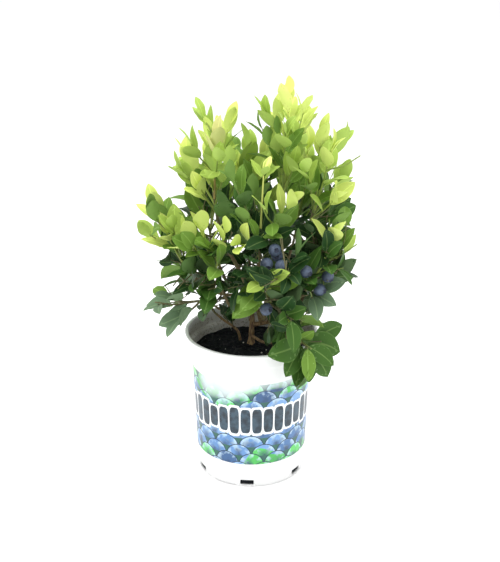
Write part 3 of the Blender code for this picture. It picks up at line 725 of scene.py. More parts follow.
def finish_piece(made: bpy.types.Object, slot: str, *nodes: str) -> bpy.types.Object:
    """Put a piece on the body, hide the solids that it stands for and report it.

    Args:
        made: The piece.
        slot: The record's slot; not used.
        nodes: The solids that it stands for.

    Returns:
        The piece.
    """
    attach(made, "root")
    if nodes:
        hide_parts(*nodes)
    triangles = sum(len(face.vertices) - 2 for face in made.data.polygons)
    log.info("%s: %d triangles", made.name, triangles)
    return made


@dataclass(frozen=True)
class Limb:
    """A tapering bough: the limb that carries it, where, and its own tip."""

    name: str
    parent: str
    along: float
    tip: tuple[float, float, float]
    radius: float
    tip_radius: float
    rise: float = 0.7


@dataclass(frozen=True)
class Mass:
    """A mass of foliage: its bough, shoots with their tints, and its fruit."""

    name: str
    bough: str
    slot: str
    leaf: float
    seed: int
    shoots: tuple
    tints: str
    rosettes: tuple = ()
    fruit: tuple = ()
    bare: tuple = ()

    def kind(self, tip: tuple) -> str:
        """Return the kind of the shoot that ends at a tip.

        Args:
            tip: The tip.

        Returns:
            One of rosette, bare and shoot.
        """
        if tip in self.rosettes:
            return "rosette"
        return "bare" if tip in self.bare else "shoot"

    def tint(self, tip: tuple) -> Tint:
        """Return the tint of the shoot that ends at a tip."""
        return TINTS[self.tints[(self.shoots + self.rosettes).index(tip)]]


@dataclass
class Twig:
    """One twig: the points of its middle line, its radii, kind and tint."""

    points: Array
    radius: float
    tip_radius: float
    kind: str
    tint: Tint


@dataclass
class Leaf:
    """One leaf: where it starts, its own directions, its length and tint."""

    base: Array
    along: Array
    across: Array
    face: Array
    length: float
    tint: Tint


def dome(centre: tuple, reach: tuple, count: int, start: float = 0.0, low: float = 0.1) -> tuple:
    """Return shoot tips spread evenly over the outer side of a dome.

    Args:
        centre: The middle of the dome's foot.
        reach: Its half widths and its height.
        count: How many tips it has.
        start: The turn of the first tip.
        low: How far up the first tip lies, as a share of the height.

    Returns:
        The tips, from the lowest to the highest.
    """
    tips = []
    for index in range(count):
        height = low + (1.0 - low) * (index + 0.5) / count
        ring = math.sqrt(1.0 - height * height)
        turn = start + index * SPIRAL
        tips.append((centre[0] + reach[0] * ring * math.cos(turn),
                     centre[1] + reach[1] * ring * math.sin(turn),
                     centre[2] + reach[2] * height))
    return tuple(tips)


LIMBS = (
    Limb("bough_left", "trunk", 1.00, (-40, 4, 326), 3.0, 1.9),
    Limb("bough_right", "trunk", 0.86, (35, 2, 340), 2.7, 1.9),
    Limb("bough_back", "bough_left", 0.10, (-2, 52, 300), 2.4, 1.8),
    Limb("bough_front", "bough_right", 0.16, (10, -34, 300), 2.4, 1.8),
    Limb("bough_far_right", "bough_right", 0.42, (68, -6, 318), 2.1, 1.7),
    Limb("bough_mid_left", "bough_left", 0.34, (-74, -6, 262), 2.1, 1.7),
    Limb("bough_back_left", "bough_left", 0.22, (-50, 50, 280), 2.1, 1.7),
    Limb("bough_back_right", "bough_right", 0.28, (52, 48, 280), 2.1, 1.7),
    Limb("bough_front_left", "bough_left", 0.16, (-38, -36, 262), 2.0, 1.6),
    Limb("bough_mid_right", "bough_right", 0.22, (66, -34, 252), 2.0, 1.6),
    Limb("bough_low_front", "bough_front", 0.26, (16, -62, 246), 1.8, 1.5),
    Limb("bough_low_left", "bough_front_left", 0.45, (-54, -32, 236), 1.5, 1.3, 0.1),
    Limb("bough_low_back", "bough_back", 0.28, (8, 74, 232), 1.8, 1.5, 0.2),
    Limb("bough_overhang", "trunk", 0.55, (46, -62, 199), 1.8, 1.5, 0.1),
)

# Each shoot's tint letter is its age; the darker letters low down and inside the crown are also
# painted shade.
MASSES = (
    Mass("foliage_top_right", "bough_right", "foliage_young", 0.84, 16,
         ((43, 0, 476), (58, -20, 458), (32, 20, 446), (38, -38, 440), (60, 12, 434),
          (48, -34, 402), (28, -10, 418)), "YTTFTFF"),
    Mass("foliage_far_right", "bough_far_right", "foliage_fresh", 0.88, 4,
         ((80, 0, 424), (90, -25, 416), (104, 0, 376), (96, -48, 368), (62, -52, 398),
          (84, 34, 380), (98, 26, 336)), "TTFTFMM"),
    Mass("foliage_top_left", "bough_left", "foliage_young", 0.90, 8,
         ((-40, 0, 422), (-27, 25, 434), (-50, 32, 410), (-74, 20, 397), (-78, 0, 384),
          (-57, -28, 371), (-30, -10, 392)), "PTTTFTF"),
    Mass("foliage_back", "bough_back", "foliage_fresh", 0.96, 26,
         ((8, 12, 384), (22, 30, 404), (-22, 36, 404), (-4, 62, 396))
         + dome((0, 62, 300), (46, 40, 72), 5, 0.6), "FTTFMMFFT"),
    Mass("foliage_front", "bough_front", "foliage_fresh", 0.90, 25,
         ((14, -60, 408), (46, -64, 366), (-19, -58, 388), (-12, -74, 322), (34, -62, 346),
          (2, -20, 370), (8, -40, 322), (12, -58, 300)), "YTMTMMDD",
         fruit=((26, -84, 308, 4),), bare=((14, -60, 408),)),
    Mass("foliage_mid_left", "bough_mid_left", "foliage_mature", 0.88, 22,
         ((-111, -10, 346), (-98, -30, 318), (-90, -44, 330), (-94, 4, 290), (-92, -30, 256),
          (-84, 28, 318), (-88, 24, 262)), "TTFABFM"),
    Mass("foliage_front_left", "bough_front_left", "foliage_mature", 0.96, 1,
         ((-72, -58, 326), (-54, -56, 330), (-30, -68, 332), (-36, -80, 300), (-44, -66, 262),
          (-70, -62, 286), (-60, -46, 246), (-24, -74, 276), (-56, -52, 284)), "TTTMAAAAD"),
    Mass("foliage_mid_right", "bough_mid_right", "foliage_mature", 0.94, 29,
         ((96, -56, 326), (102, -38, 300), (98, -46, 276), (84, -52, 260), (78, -30, 316),
          (70, -70, 256), (106, -12, 262), (72, -24, 238), (74, -34, 268), (73, -30, 294),
          (88, -30, 340)), "TMABDBDBDAA",
         fruit=((108, -16, 322, 2), (88, -62, 268, 2), (62, -84, 293, 1))),
    Mass("foliage_low_front", "bough_low_front", "foliage_mature", 0.92, 8,
         ((54, -82, 318), (26, -90, 262), (-12, -84, 290), (50, -78, 254), (-18, -76, 256),
          (36, -70, 238), (60, -62, 224)), "ADADDDMF",
         ((15, -100, 286),), ((17, -84, 247, 1),)),
    Mass("foliage_low_left", "bough_low_left", "foliage_deep", 0.90, 20,
         ((-88, -50, 246), (-112, -42, 238), (-100, -14, 234), (-82, -56, 226)), "BBMB"),
    Mass("foliage_low_cane", "low_cane", "foliage_deep", 0.90, 31,
         ((-78, 30, 236), (-52, 40, 246), (-60, 2, 222), (-86, 50, 256), (-30, 44, 222)),
         "BABMD"),
    Mass("foliage_low_back", "bough_low_back", "foliage_deep", 0.95, 15,
         dome((6, 76, 228), (66, 28, 50), 7, 0.3), "DDADAAM"),
    Mass("foliage_back_left", "bough_back_left", "foliage_mature", 0.95, 7,
         dome((-50, 50, 282), (40, 44, 102), 9, 1.0), "AAMMMFFTT"),
    Mass("foliage_back_right", "bough_back_right", "foliage_mature", 0.95, 5,
         dome((62, 52, 282), (46, 46, 118), 9, 0.75), "AAMMMFFTT"),
    Mass("foliage_overhang", "bough_overhang", "foliage_fresh", 1.06, 178,
         ((36, -40, 222), (66, -40, 224)), "FMM", ((68, -95, 203),)),
)

@dataclass(frozen=True)
class Camera:
    """The camera: its place in millimetres, how far it looks down, its lens."""

    place: tuple = (-1.57, -1200.0, 715.8)
    pitch: float = math.radians(21.256)
    lens: float = 67.58


CAMERA = Camera()

# Windows of open sky in the crown, as the camera sees them at one distance:
# their middle and half sizes, across and up, in millimetres.
GLADES = (
    (0.0, 196.0, 8.0, 20.0), (37.6, 93.7, 5.0, 7.5), (-48.0, 65.0, 6.5, 8.5),
    (-52.0, 18.5, 24.0, 6.5), (-55.5, -17.5, 12.5, 7.5), (117.0, 149.0, 14.0, 14.0),
    (-110.0, 131.0, 18.0, 12.0), (-87.0, 127.0, 9.0, 20.0), (-128.0, 66.0, 11.0, 11.0),
    (34.5, 222.0, 6.0, 14.0), (12.0, 190.0, 12.0, 12.0), (124.0, 34.5, 10.0, 11.0),
    (-46.0, -66.0, 27.0, 21.0), (-86.0, -66.0, 17.0, 20.0), (76.0, -50.0, 13.0, 10.0),
    (-1.0, -62.0, 15.0, 20.0), (-120.0, 38.0, 14.0, 14.0), (95.0, -14.0, 8.0, 14.0),
    (-3.0, 174.0, 10.0, 13.0), (24.0, 185.0, 8.0, 20.0), (-96.0, 100.0, 16.0, 14.0),
    (100.0, 148.0, 9.0, 12.0), (-100.0, 5.0, 12.0, 12.0), (-112.0, -18.0, 9.0, 9.0),
    (-112.0, -54.0, 14.0, 13.0), (-76.0, -36.0, 13.0, 15.0), (-128.0, -36.0, 8.0, 8.0),
)


def in_glade(points: Array, distance: float = 1300.0) -> bool:
    """Tell whether any point lies in a window of open sky.

    Args:
        points: The points.
        distance: The distance that the windows are measured at.

    Returns:
        True where one does.
    """
    away = points - np.array(CAMERA.place)
    level, slope = math.cos(CAMERA.pitch), math.sin(CAMERA.pitch)
    scale = distance / (away @ (0.0, level, -slope))
    across = away[:, 0] * scale
    upward = away @ (0.0, slope, level) * scale
    return any((((across - x) / wide) ** 2 + ((upward - y) / high) ** 2 < 1.0).any()
               for x, y, wide, high in GLADES)


def curve(start: Array, start_way: Array, end: Array, end_way: Array, steps: int) -> Array:
    """Return points along a cubic curve.

    Args:
        start: Its first point.
        start_way: The direction it leaves in.
        end: Its last point.
        end_way: The direction it arrives in.
        steps: How many stretches it is cut into.

    Returns:
        The points, one more than the steps.
    """
    reach = np.linalg.norm(end - start) * CURVE_PULL
    second = start + unit(start_way) * reach
    third = end - unit(end_way) * reach
    t = np.linspace(0.0, 1.0, steps + 1)[:, None]
    return ((1 - t) ** 3 * start + 3 * (1 - t) ** 2 * t * second
            + 3 * (1 - t) * t ** 2 * third + t ** 3 * end)


def led_curve(start: Array, start_way: Array, end: Array, end_way: Array, steps: int) -> Array:
    """Return a curve with a short straight lead, which squares its foot."""
    lead = start + unit(start_way) * Growth.lead
    return np.vstack((start, curve(lead, start_way, end, end_way, steps)))


def tangents(points: Array) -> Array:
    """Return the unit direction of a line of points at each point."""
    ways = np.gradient(points, axis=0)
    return ways / np.linalg.norm(ways, axis=1)[:, None]


def cross_frame(way: Array) -> tuple[Array, Array]:
    """Return two unit vectors across a direction.

    Args:
        way: The direction.

    Returns:
        The two, square to it and to each other.
    """
    side = np.cross(way, (0.0, 1.0, 0.0))
    if np.linalg.norm(side) < NEARLY_ALONG:
        side = np.cross(way, (1.0, 0.0, 0.0))
    side = unit(side)
    return side, np.cross(side, way)


def outward(way: Array, turn: float) -> Array:
    """Return the direction off a line at a turn round it."""
    side, front = cross_frame(way)
    return side * math.cos(turn) + front * math.sin(turn)


def heading(way: Array, out: Array, shares: Sequence[float]) -> Array:
    """Return a direction made of shares of a line's own, of out and of up."""
    return way * shares[0] + out * shares[1] + UP * shares[2]


def at(points: Array, share: float) -> tuple[Array, Array]:
    """Return the point and direction at a share of a line's points.

    Args:
        points: The line's points.
        share: The share, from nought to one.

    Returns:
        The point and the direction.
    """
    place = share * (len(points) - 1)
    index = min(int(place), len(points) - 2)
    part = place - index
    point = points[index] * (1 - part) + points[index + 1] * part
    return point, unit(points[index + 1] - points[index])


def closely(line: Array, radii: Array, step: float = 3.0) -> tuple[Array, Array]:
    """Return a line's points and radii again at close even steps.

    Args:
        line: The line's points.
        radii: The radius at each.
        step: The step.

    Returns:
        The new points and radii.
    """
    lengths = np.concatenate(((0.0,), np.cumsum(np.linalg.norm(np.diff(line, axis=0), axis=1))))
    steps = np.linspace(0.0, lengths[-1], max(2, int(lengths[-1] / step) + 1))
    points = np.stack([np.interp(steps, lengths, line[:, axis]) for axis in range(3)], axis=1)
    return points, np.interp(steps, lengths, radii)


def dots(line: Array) -> Array:
    """Return a line's points again at close even steps."""
    return closely(line, np.zeros(len(line)))[0]


def rounded(line: Array, radii: Array, parts: int) -> tuple[Array, Array]:
    """Return a line with its bends rounded, through the same points.

    Args:
        line: The points of the line.
        radii: The radius at each point.
        parts: How many pieces each stretch is cut into.

    Returns:
        The points and radii of the rounded line.
    """
    before = np.vstack((2 * line[0] - line[1], line[:-1]))
    after = np.vstack((line[1:], 2 * line[-1] - line[-2]))
    slopes = (after - before) * 0.5
    points = [line[0]]
    for index in range(len(line) - 1):
        for part in range(1, parts + 1):
            t = part / parts
            points.append((2 * t ** 3 - 3 * t ** 2 + 1) * line[index]
                          + (t ** 3 - 2 * t ** 2 + t) * slopes[index]
                          + (3 * t ** 2 - 2 * t ** 3) * line[index + 1]
                          + (t ** 3 - t ** 2) * slopes[index + 1])
    shares = np.linspace(0.0, len(line) - 1.0, len(points))
    return np.array(points), np.interp(shares, np.arange(len(line)), radii)


def pierced(faces: Array, lines: Array) -> bool:
    """Tell whether any of the lines goes through any three-cornered face.

    Args:
        faces: The faces, each as three points.
        lines: The lines, each as two points.

    Returns:
        True where one does.
    """
    if not len(faces) or not len(lines):
        return False
    corner = faces[:, None, 0]
    first = faces[:, None, 1] - corner
    second = faces[:, None, 2] - corner
    way = (lines[:, 1] - lines[:, 0])[None]
    start = lines[None, :, 0] - corner
    normal = np.cross(first, second)
    slope = (way * normal).sum(axis=2)
    slope = np.where(np.abs(slope) < TINY, TINY, slope)
    along = -(start * normal).sum(axis=2) / slope
    turned_way = np.cross(start, way)
    one = -(second * turned_way).sum(axis=2) / slope
    two = (first * turned_way).sum(axis=2) / slope
    inside = (one > 0) & (two > 0) & (one + two < 1)
    return bool((inside & (along > 0) & (along < 1)).any())


@dataclass(frozen=True)
class PotSizes:
    """The sizes of the moulded pot."""

    height: float = 185.5
    base_radius: float = 66.5
    foot_radius: float = 68.2
    foot_height: float = 4.0
    neck_radius: float = 74.6
    neck_height: float = 166.0
    collar_radius: float = 79.2
    collar_step: float = 2.0
    lip_radius: float = 82.5
    lip_height: float = 3.5
    mouth_radius: float = 78.0
    wall: float = 1.6
    floor: float = 2.0
    slot_count: int = 6
    slot_width: float = 17.0
    slot_height: float = 7.2
    slot_bottom: float = 3.0
    slot_turn: float = math.radians(-4.5)
    arch_count: int = 3
    arch_width: float = 33.0
    arch_height: float = 1.6
    arch_turn: float = math.radians(-29.0)
    soil_level: float = 160.0
    soil_drop: float = 2.5

    def wall_radius(self, height: float) -> float:
        """Return the outer radius of the pot's body at a height."""
        share = (height - self.foot_height) / (self.neck_height - self.foot_height)
        return self.foot_radius + (self.neck_radius - self.foot_radius) * share


POT = PotSizes()


@dataclass(frozen=True)
class Growth:
    """The rule by which limbs, shoots, side twigs and leaves grow."""

    lead: float = 2.5
    leaf_length: float = 46.0
    leaf_width: float = 0.50
    leaf_step: float = 10.5
    leaves_per_shoot: int = 6
    bare_step: float = 3.4
    bare_leaves: int = 6
    rosette_step: float = 3.2
    rosette_leaves: int = 9
    twig_radius: float = 1.5
    tip_radius: float = 0.75
    side_twig_every: float = 66.0
    side_twig_length: float = 46.0
    high_growth: float = 370.0
    spread_high: float = 26.0
    spread_low: float = 44.0
    low_growth: float = 300.0
    droop: float = 0.26
    tries: int = 16
    swing: float = math.radians(21.0)
    space_margin: float = 1.6
    limb_margin: float = 1.25
    spacing: float = 9.0
    crown_centre: tuple = (-5.0, 2.0)
    crown_reach: tuple = (136.0, 128.0)
    crown_top: float = 505.0
    trunk_foot: tuple = (0.0, 12.0, POT.soil_level + GAP)
    trunk_fork: tuple = (1.0, 10.0, 195.0)
    trunk_radius: float = 3.7
    fork_radius: float = 3.1
    flare_radius: float = 5.6
    flare_height: float = 9.0
    cane_foot: tuple = (-14.0, 20.0, POT.soil_level + GAP)
    cane_tip: tuple = (-44.0, 18.0, 198.0)
    cane_radii: tuple = (1.8, 1.4)
    view_width: float = 15.0
    view_height: float = 203.0
    view_slope: float = 0.39
    fruit_radius: float = 7.4
    fruit_offsets: tuple = ((0.3, 1.0, 10.5), (-9.0, -3.0, -4.5), (7.5, -1.0, -7.5),
                            (3.0, 7.0, 1.5))
    sight_way: tuple = (0.0, -186.0, 72.0)
    sight_shares: tuple = (0.12, 0.80)
    fruit_shown: float = -70.0
    fine_height: float = 345.0
    fine_every: tuple = (7.5, 20.0)
    fine_spacing: tuple = (4.6, 6.5)
    fine_tries: tuple = (9, 5)
    sprig_every: tuple = (9.5, 36.0)
    bough_share: float = 0.14
    sprig_reach: tuple = (20.0, 42.0)
    trunk_shares: tuple = (0.0, 0.10, 0.26, 0.6, 1.0)
    cane_steps: int = 4
    bough_steps: int = 3
    bough_step: float = 34.0
    heart_share: float = 0.42
    heart_rise: float = 12.0
    stem_share: float = 0.95
    shoot_places: tuple = (0.40, 0.56)
    shoot_step: float = 30.0
    shoot_rise: float = 0.55
    rosette_rise: float = 0.3
    bends: tuple = (0.5, 0.1, 1.0, 1.8, 3.0)
    side_places: tuple = (0.25, 0.5)
    side_reach: tuple = (0.7, 1.1)
    side_way: tuple = (0.55, 0.8, 0.15)
    side_end: tuple = (1.0, 0.6, 0.5)
    side_share: float = 0.75
    ways_tried: int = 6
    rosette_plan: tuple = (34.0, 48.0, 0.72, 0.09)
    bare_plan: tuple = (16.0, 9.0, 0.42, 0.045)
    leaf_sizes: tuple = (0.80, 0.92, 1.0, 1.04, 1.0, 0.96)
    side_leaf: float = 0.92
    fewest_leaves: int = 3
    leafy_share: float = 0.8
    first_angle: float = 12.0
    leafless_foot: float = 0.12
    angle_drift: tuple = (-8.0, 8.0)
    size_drift: tuple = (0.9, 1.08)
    lift: tuple = (-0.16, 0.22)
    young_leaves: int = 3
    shrink_after: float = 0.6
    shrink: float = 0.8
    face_rise: float = 0.35
    fine_sizes: tuple = (0.62, 1.02)
    fine_angles: tuple = (28.0, 70.0)
    fine_lift: tuple = (-0.3, 0.25)
    fine_end: float = 0.9
    sprig_ends: tuple = (0.75, 0.40)
    sprig_last: float = 0.97
    sprig_way: tuple = (0.6, 0.9, 0.1)
    sprig_end: tuple = (0.4, 1.0, 0.4)
    sprig_radii: tuple = (0.8, 0.5)
    rim_margin: float = 1.5
    wall_margin: float = 4.0
    soil_margin: float = 3.0
    line_margin: float = 0.5
    fruit_margin: float = 1.5
    fruit_below: float = 60.0
    near_leaf: float = 1.3

    def high(self, place: Array) -> bool:
        """Tell whether a place lies in the open upper growth."""
        return bool(place[2] > self.fine_height)

    def limbs(self) -> dict[str, tuple[Array, Array]]:
        """Return each limb's middle line and radii, trunk and cane first.

        Returns:
            The lines and radii by the limbs' names.
        """
        limbs = {}
        foot, fork = np.array(self.trunk_foot), np.array(self.trunk_fork)
        lean = fork - foot
        shares = np.array(self.trunk_shares)
        radii = self.fork_radius + (self.trunk_radius - self.fork_radius) * (1 - shares)
        flare = np.clip(1 - shares * lean[2] / self.flare_height, 0, 1) ** 2
        radii += (self.flare_radius - self.trunk_radius) * flare
        drift = np.clip((shares - shares[1]) / (1 - shares[1]), 0, 1)
        rises = np.stack((lean[0] * drift, lean[1] * drift, lean[2] * shares), axis=1)
        limbs["trunk"] = (foot + rises, radii)
        foot, tip = np.array(self.cane_foot), np.array(self.cane_tip)
        line = led_curve(foot, UP, tip, tip - foot, self.cane_steps)
        limbs["low_cane"] = (line, np.linspace(*self.cane_radii, len(line)))
        for limb in LIMBS:
            limbs[limb.name] = self.bough(limb, *limbs[limb.parent])
        return limbs

    def bough(self, limb: Limb, parent: Array, parent_radii: Array) -> tuple[Array, Array]:
        """Return a bough's line and radii, its foot just clear of its parent.

        Args:
            limb: The bough.
            parent: The line of the limb that carries it.
            parent_radii: That limb's radii.

        Returns:
            The bough's points and radii.
        """
        place, way = at(parent, limb.along)
        tip = np.array(limb.tip, dtype=float)
        if limb.along == 1.0:
            start, out = place + way * GAP, way
        else:
            out = tip - place
            out = unit(out - way * float(out @ way))
            radius = np.interp(limb.along, np.linspace(0, 1, len(parent_radii)), parent_radii)
            start = place + out * (radius + GAP)
        length = np.linalg.norm(tip - start)
        end_way = unit(tip - start) + UP * limb.rise
        steps = self.bough_steps + int(length / self.bough_step)
        line = led_curve(start, out, tip, end_way, steps)
        return line, np.linspace(limb.radius, limb.tip_radius, len(line))

    def stem(self, mass: Mass, line: Array, radii: Array) -> Twig:
        """Return the mass's own stem, which starts clear of its bough's tip.

        Args:
            mass: The mass.
            line: Its bough's points.
            radii: Its bough's radii.

        Returns:
            The stem.
        """
        way = tangents(line)[-1]
        start = line[-1] + way * GAP
        tips = np.array(mass.shoots + mass.rosettes, dtype=float)
        heart = start + (tips.mean(axis=0) - start) * self.heart_share
        points = led_curve(start, way, heart, heart - start + UP * self.heart_rise, 2)
        radius = radii[-1] * self.stem_share
        return Twig(points, radius, self.twig_radius, "stem", Tint.MATURE)

    def shoots(self, mass: Mass, stem: Twig, space: "Space", owner: int) -> list[Twig]:
        """Return the shoots that leave the stem and find room.

        Args:
            mass: The mass.
            stem: Its stem.
            space: The room that is taken so far.
            owner: The mass's number.

        Returns:
            The shoots, in order of height.
        """
        order = sorted(mass.shoots + mass.rosettes, key=lambda tip: tip[2])
        shoots = []
        first, span = self.shoot_places
        for index, tip in enumerate(order):
            start, way = at(stem.points, first + span * (index + 1) / len(order))
            end = np.array(tip, dtype=float)
            line_way = unit(end - start)
            kind = mass.kind(tip)
            last_way = line_way + UP * self.shoot_rise
            if kind == "rosette":
                last_way = unit(end * (1.0, 1.0, 0.0)) + UP * self.rosette_rise
            steps = max(2, int(np.linalg.norm(end - start) / self.shoot_step))
            for bend in self.bends:
                points = curve(start, way * bend + line_way, end, last_way, steps)
                if space.free_line(points, owner):
                    twig = Twig(points, self.twig_radius, self.tip_radius, kind, mass.tint(tip))
                    shoots.append(twig)
                    space.add_twig(twig, owner)
                    break
        return shoots

    def side_twigs(self, shoots: list[Twig], draw: random.Random, space: "Space",
                   owner: int) -> list[Twig]:
        """Return twigs that leave the long shoots by the seeded rule.

        Args:
            shoots: The shoots of one mass.
            draw: The mass's own random numbers.
            space: The room that is taken so far.
            owner: The mass's number.

        Returns:
            The twigs that found room.
        """
        twigs = []
        first, span = self.side_places
        for shoot in shoots:
            if shoot.kind != "shoot":
                continue
            count = int(line_length(shoot.points) / self.side_twig_every)
            for index in range(count):
                share = first + span * (index + draw.random()) / max(1, count)
                start, way = at(shoot.points, share)
                first_turn = draw.random() * math.tau
                reach = self.side_twig_length * draw.uniform(*self.side_reach)
                for turn in range(self.ways_tried):
                    out = outward(way, first_turn + turn * math.tau / self.ways_tried)
                    end = start + heading(way, out, self.side_way) * reach
                    last_way = heading(way, out, self.side_end)
                    points = curve(start, way + out, end, last_way, 2)
                    if space.holds(dots(points)[1:], owner) and not space.near_twig(points[1:]):
                        twig = Twig(points, self.twig_radius * self.side_share,
                                    self.tip_radius, "side", shoot.tint.older())
                        twigs.append(twig)
                        space.add_twig(twig, owner)
                        break
        return twigs

    def plan(self, twig: Twig) -> list[tuple[float, float, float]]:
        """Return each leaf's distance from the twig's tip, angle and size.

        Args:
            twig: The twig.

        Returns:
            The three numbers of each leaf, from the tip down.
        """
        if twig.kind == "rosette":
            angle, spread, size, growth = self.rosette_plan
            return [(index * self.rosette_step, angle + spread * min(1.0, index / 4.0),
                     size + growth * min(index, 5)) for index in range(self.rosette_leaves)]
        if twig.kind == "bare":
            angle, spread, size, growth = self.bare_plan
            return [(index * self.bare_step, angle + spread * index, size + growth * index)
                    for index in range(self.bare_leaves)]
        length = line_length(twig.points)
        room = int(length * self.leafy_share / self.leaf_step)
        count = min(self.leaves_per_shoot, max(self.fewest_leaves, room))
        scale = self.side_leaf if twig.kind == "side" else 1.0
        spread = self.spread_high if twig.points[-1, 2] > self.high_growth else self.spread_low
        return [(index * self.leaf_step, self.first_angle + spread * min(1.0, index / 3.0),
                 self.leaf_sizes[index] * scale) for index in range(count)]

    def leaf_frame(self, way: Array, turn: float, angle: float,
                   lift: float) -> tuple[Array, Array, Array]:
        """Return a leaf's own directions.

        Args:
            way: The twig's direction where it starts.
            turn: Its turn round the twig.
            angle: Its angle off the twig.
            lift: How much it turns up.

        Returns:
            The directions along it, across it and off its face.
        """
        shares = (math.cos(angle), math.sin(angle), lift)
        along = unit(heading(way, outward(way, turn), shares))
        face = way + UP * self.face_rise
        face = unit(face - along * float(face @ along))
        return along, np.cross(along, face), face

    def leaf_outline(self, base: Array, along: Array, across: Array, length: float) -> Array:
        """Return sample points round a leaf and down its middle.

        Args:
            base: Where it starts.
            along: The direction along it.
            across: The direction across it.
            length: Its length.

        Returns:
            The points.
        """
        places = ((0.09, 0.0), (0.3, 0.7), (0.3, -0.7), (0.5, 1.0), (0.5, -1.0), (0.5, 0.0),
                  (0.75, 0.5), (0.75, -0.5), (1.0, 0.0))
        half = 0.5 * self.leaf_width * length
        return np.array([base + along * (length * down) + across * (half * out)
                         for down, out in places])

    def leaves(self, twig: Twig, size: float, draw: random.Random, space: "Space",
               owner: int) -> list[Leaf]:
        """Return the leaves of one twig, each turned until it finds room.

        Args:
            twig: The twig.
            size: The size of this mass's leaves.
            draw: The mass's own random numbers.
            space: The room that is taken so far.
            owner: The mass's number.

        Returns:
            The leaves that found room.
        """
        length = line_length(twig.points)
        first_turn = draw.random() * math.tau
        leaves = []
        for index, (down, degrees, growth) in enumerate(self.plan(twig)):
            base, way = at(twig.points, max(1.0 - down / length, self.leafless_foot))
            turn = first_turn + index * SPIRAL
            angle = math.radians(degrees + draw.uniform(*self.angle_drift))
            reach = self.leaf_length * size * growth * draw.uniform(*self.size_drift)
            lift = draw.uniform(*self.lift) - self.droop * (base[2] < self.low_growth)
            tint = twig.tint
            if index >= self.young_leaves:
                tint = twig.tint.older()
                if twig.kind != "rosette":
                    # Older leaves are darkened further by painted shade, lower down and inside the
                    # crown.
                    tint = tint.darker(Tint.sheltered(base + way * 10.0))
            for attempt in range(self.tries):
                swing = (attempt + 1) // 2 * self.swing * (1 if attempt % 2 else -1)
                shrink = 1.0 if attempt < self.shrink_after * self.tries else self.shrink
                frame_at = self.leaf_frame(way, turn + swing, angle, lift)
                outline = self.leaf_outline(base, *frame_at[:2], reach * shrink)
                if space.takes_leaf(outline, owner, self.spacing):
                    leaves.append(Leaf(base, *frame_at, reach * shrink, tint))
                    break
        return leaves

    def fine_leaves(self, twig: Twig, size: float, draw: random.Random, space: "Space",
                    owner: int) -> list[Leaf]:
        """Return the smaller leaves between and below a twig's main ones.

        Args:
            twig: The twig.
            size: The size of this mass's leaves.
            draw: The mass's own random numbers for the fine growth.
            space: The room that is taken so far.
            owner: The mass's number.

        Returns:
            The leaves that found room.
        """
        length = line_length(twig.points)
        leaves = []
        turn = draw.random() * math.tau
        down = {"shoot": 62.0, "side": 40.0, "rosette": 30.0, "bare": 95.0}.get(twig.kind, 4.0)
        while down < length * self.fine_end:
            base, way = at(twig.points, 1.0 - down / length)
            spacing = self.fine_spacing[self.high(base)]
            reach = self.leaf_length * size * draw.uniform(*self.fine_sizes)
            angle = math.radians(draw.uniform(*self.fine_angles))
            lift = draw.uniform(*self.fine_lift)
            # Fine leaves take painted shade by their place in the crown.
            tint = Tint.sheltered(base).darker(twig.tint)
            for attempt in range(self.fine_tries[self.high(base)]):
                frame_at = self.leaf_frame(way, turn + attempt * SPIRAL, angle, lift)
                outline = self.leaf_outline(base, *frame_at[:2], reach)
                if not in_glade(outline) and space.takes_leaf(outline, owner, spacing):
                    leaves.append(Leaf(base, *frame_at, reach, tint))
                    break
            turn += SPIRAL
            down += self.fine_every[self.high(base)]
        return leaves

    def sprigs(self, lines: list[tuple[Array, float, Tint]], draw: random.Random,
               space: "Space", owner: int) -> list[Twig]:
        """Return fine twigs that fill a mass out within its own room.

        Args:
            lines: The lines that they leave, each with the share where they
                begin and its tint.
            draw: The mass's own random numbers for the fine growth.
            space: The room that is taken so far.
            owner: The mass's number.

        Returns:
            The fine twigs that found room.
        """
        made = []
        for line, first, tint in lines:
            length = line_length(line)
            high = self.high(line[-1])
            every = self.sprig_every[high]
            for index in range(int(length * self.sprig_ends[high] / every)):
                share = first + (index + draw.random()) * every / length
                start, way = at(line, min(share, self.sprig_last))
                angle = draw.random() * math.tau
                reach = draw.uniform(*self.sprig_reach)
                for turn in range(self.ways_tried):
                    out = outward(way, angle + turn * SPIRAL)
                    end = start + unit(heading(way, out, self.sprig_way)) * reach
                    last_way = heading(way, out, self.sprig_end)
                    points = curve(start, way + out, end, last_way, 2)
                    dense = dots(points)[2:]
                    if space.holds(dense, owner) and not in_glade(dense):
                        made.append(Twig(points, *self.sprig_radii, "sprig", tint.older()))
                        space.add_twig(made[-1], owner)
                        break
        return made

    def fruit_places(self, cluster: tuple, twigs: list[Twig]) -> tuple[Array, list[Array]]:
        """Return where a cluster hangs from and the middles of its fruit.

        Args:
            cluster: The cluster's hub and the number of its fruit.
            twigs: The twigs that may carry it.

        Returns:
            The nearest point of a twig and the middles.
        """
        hub = np.array(cluster[:3], dtype=float)
        dense = np.vstack([dots(twig.points) for twig in twigs])
        nearest = dense[np.argmin(np.linalg.norm(dense - hub, axis=1))]
        offsets = np.array(self.fruit_offsets)[:cluster[3]] * (cluster[3] > 1)
        return nearest, [hub + offset for offset in offsets]


GROWTH = Growth()


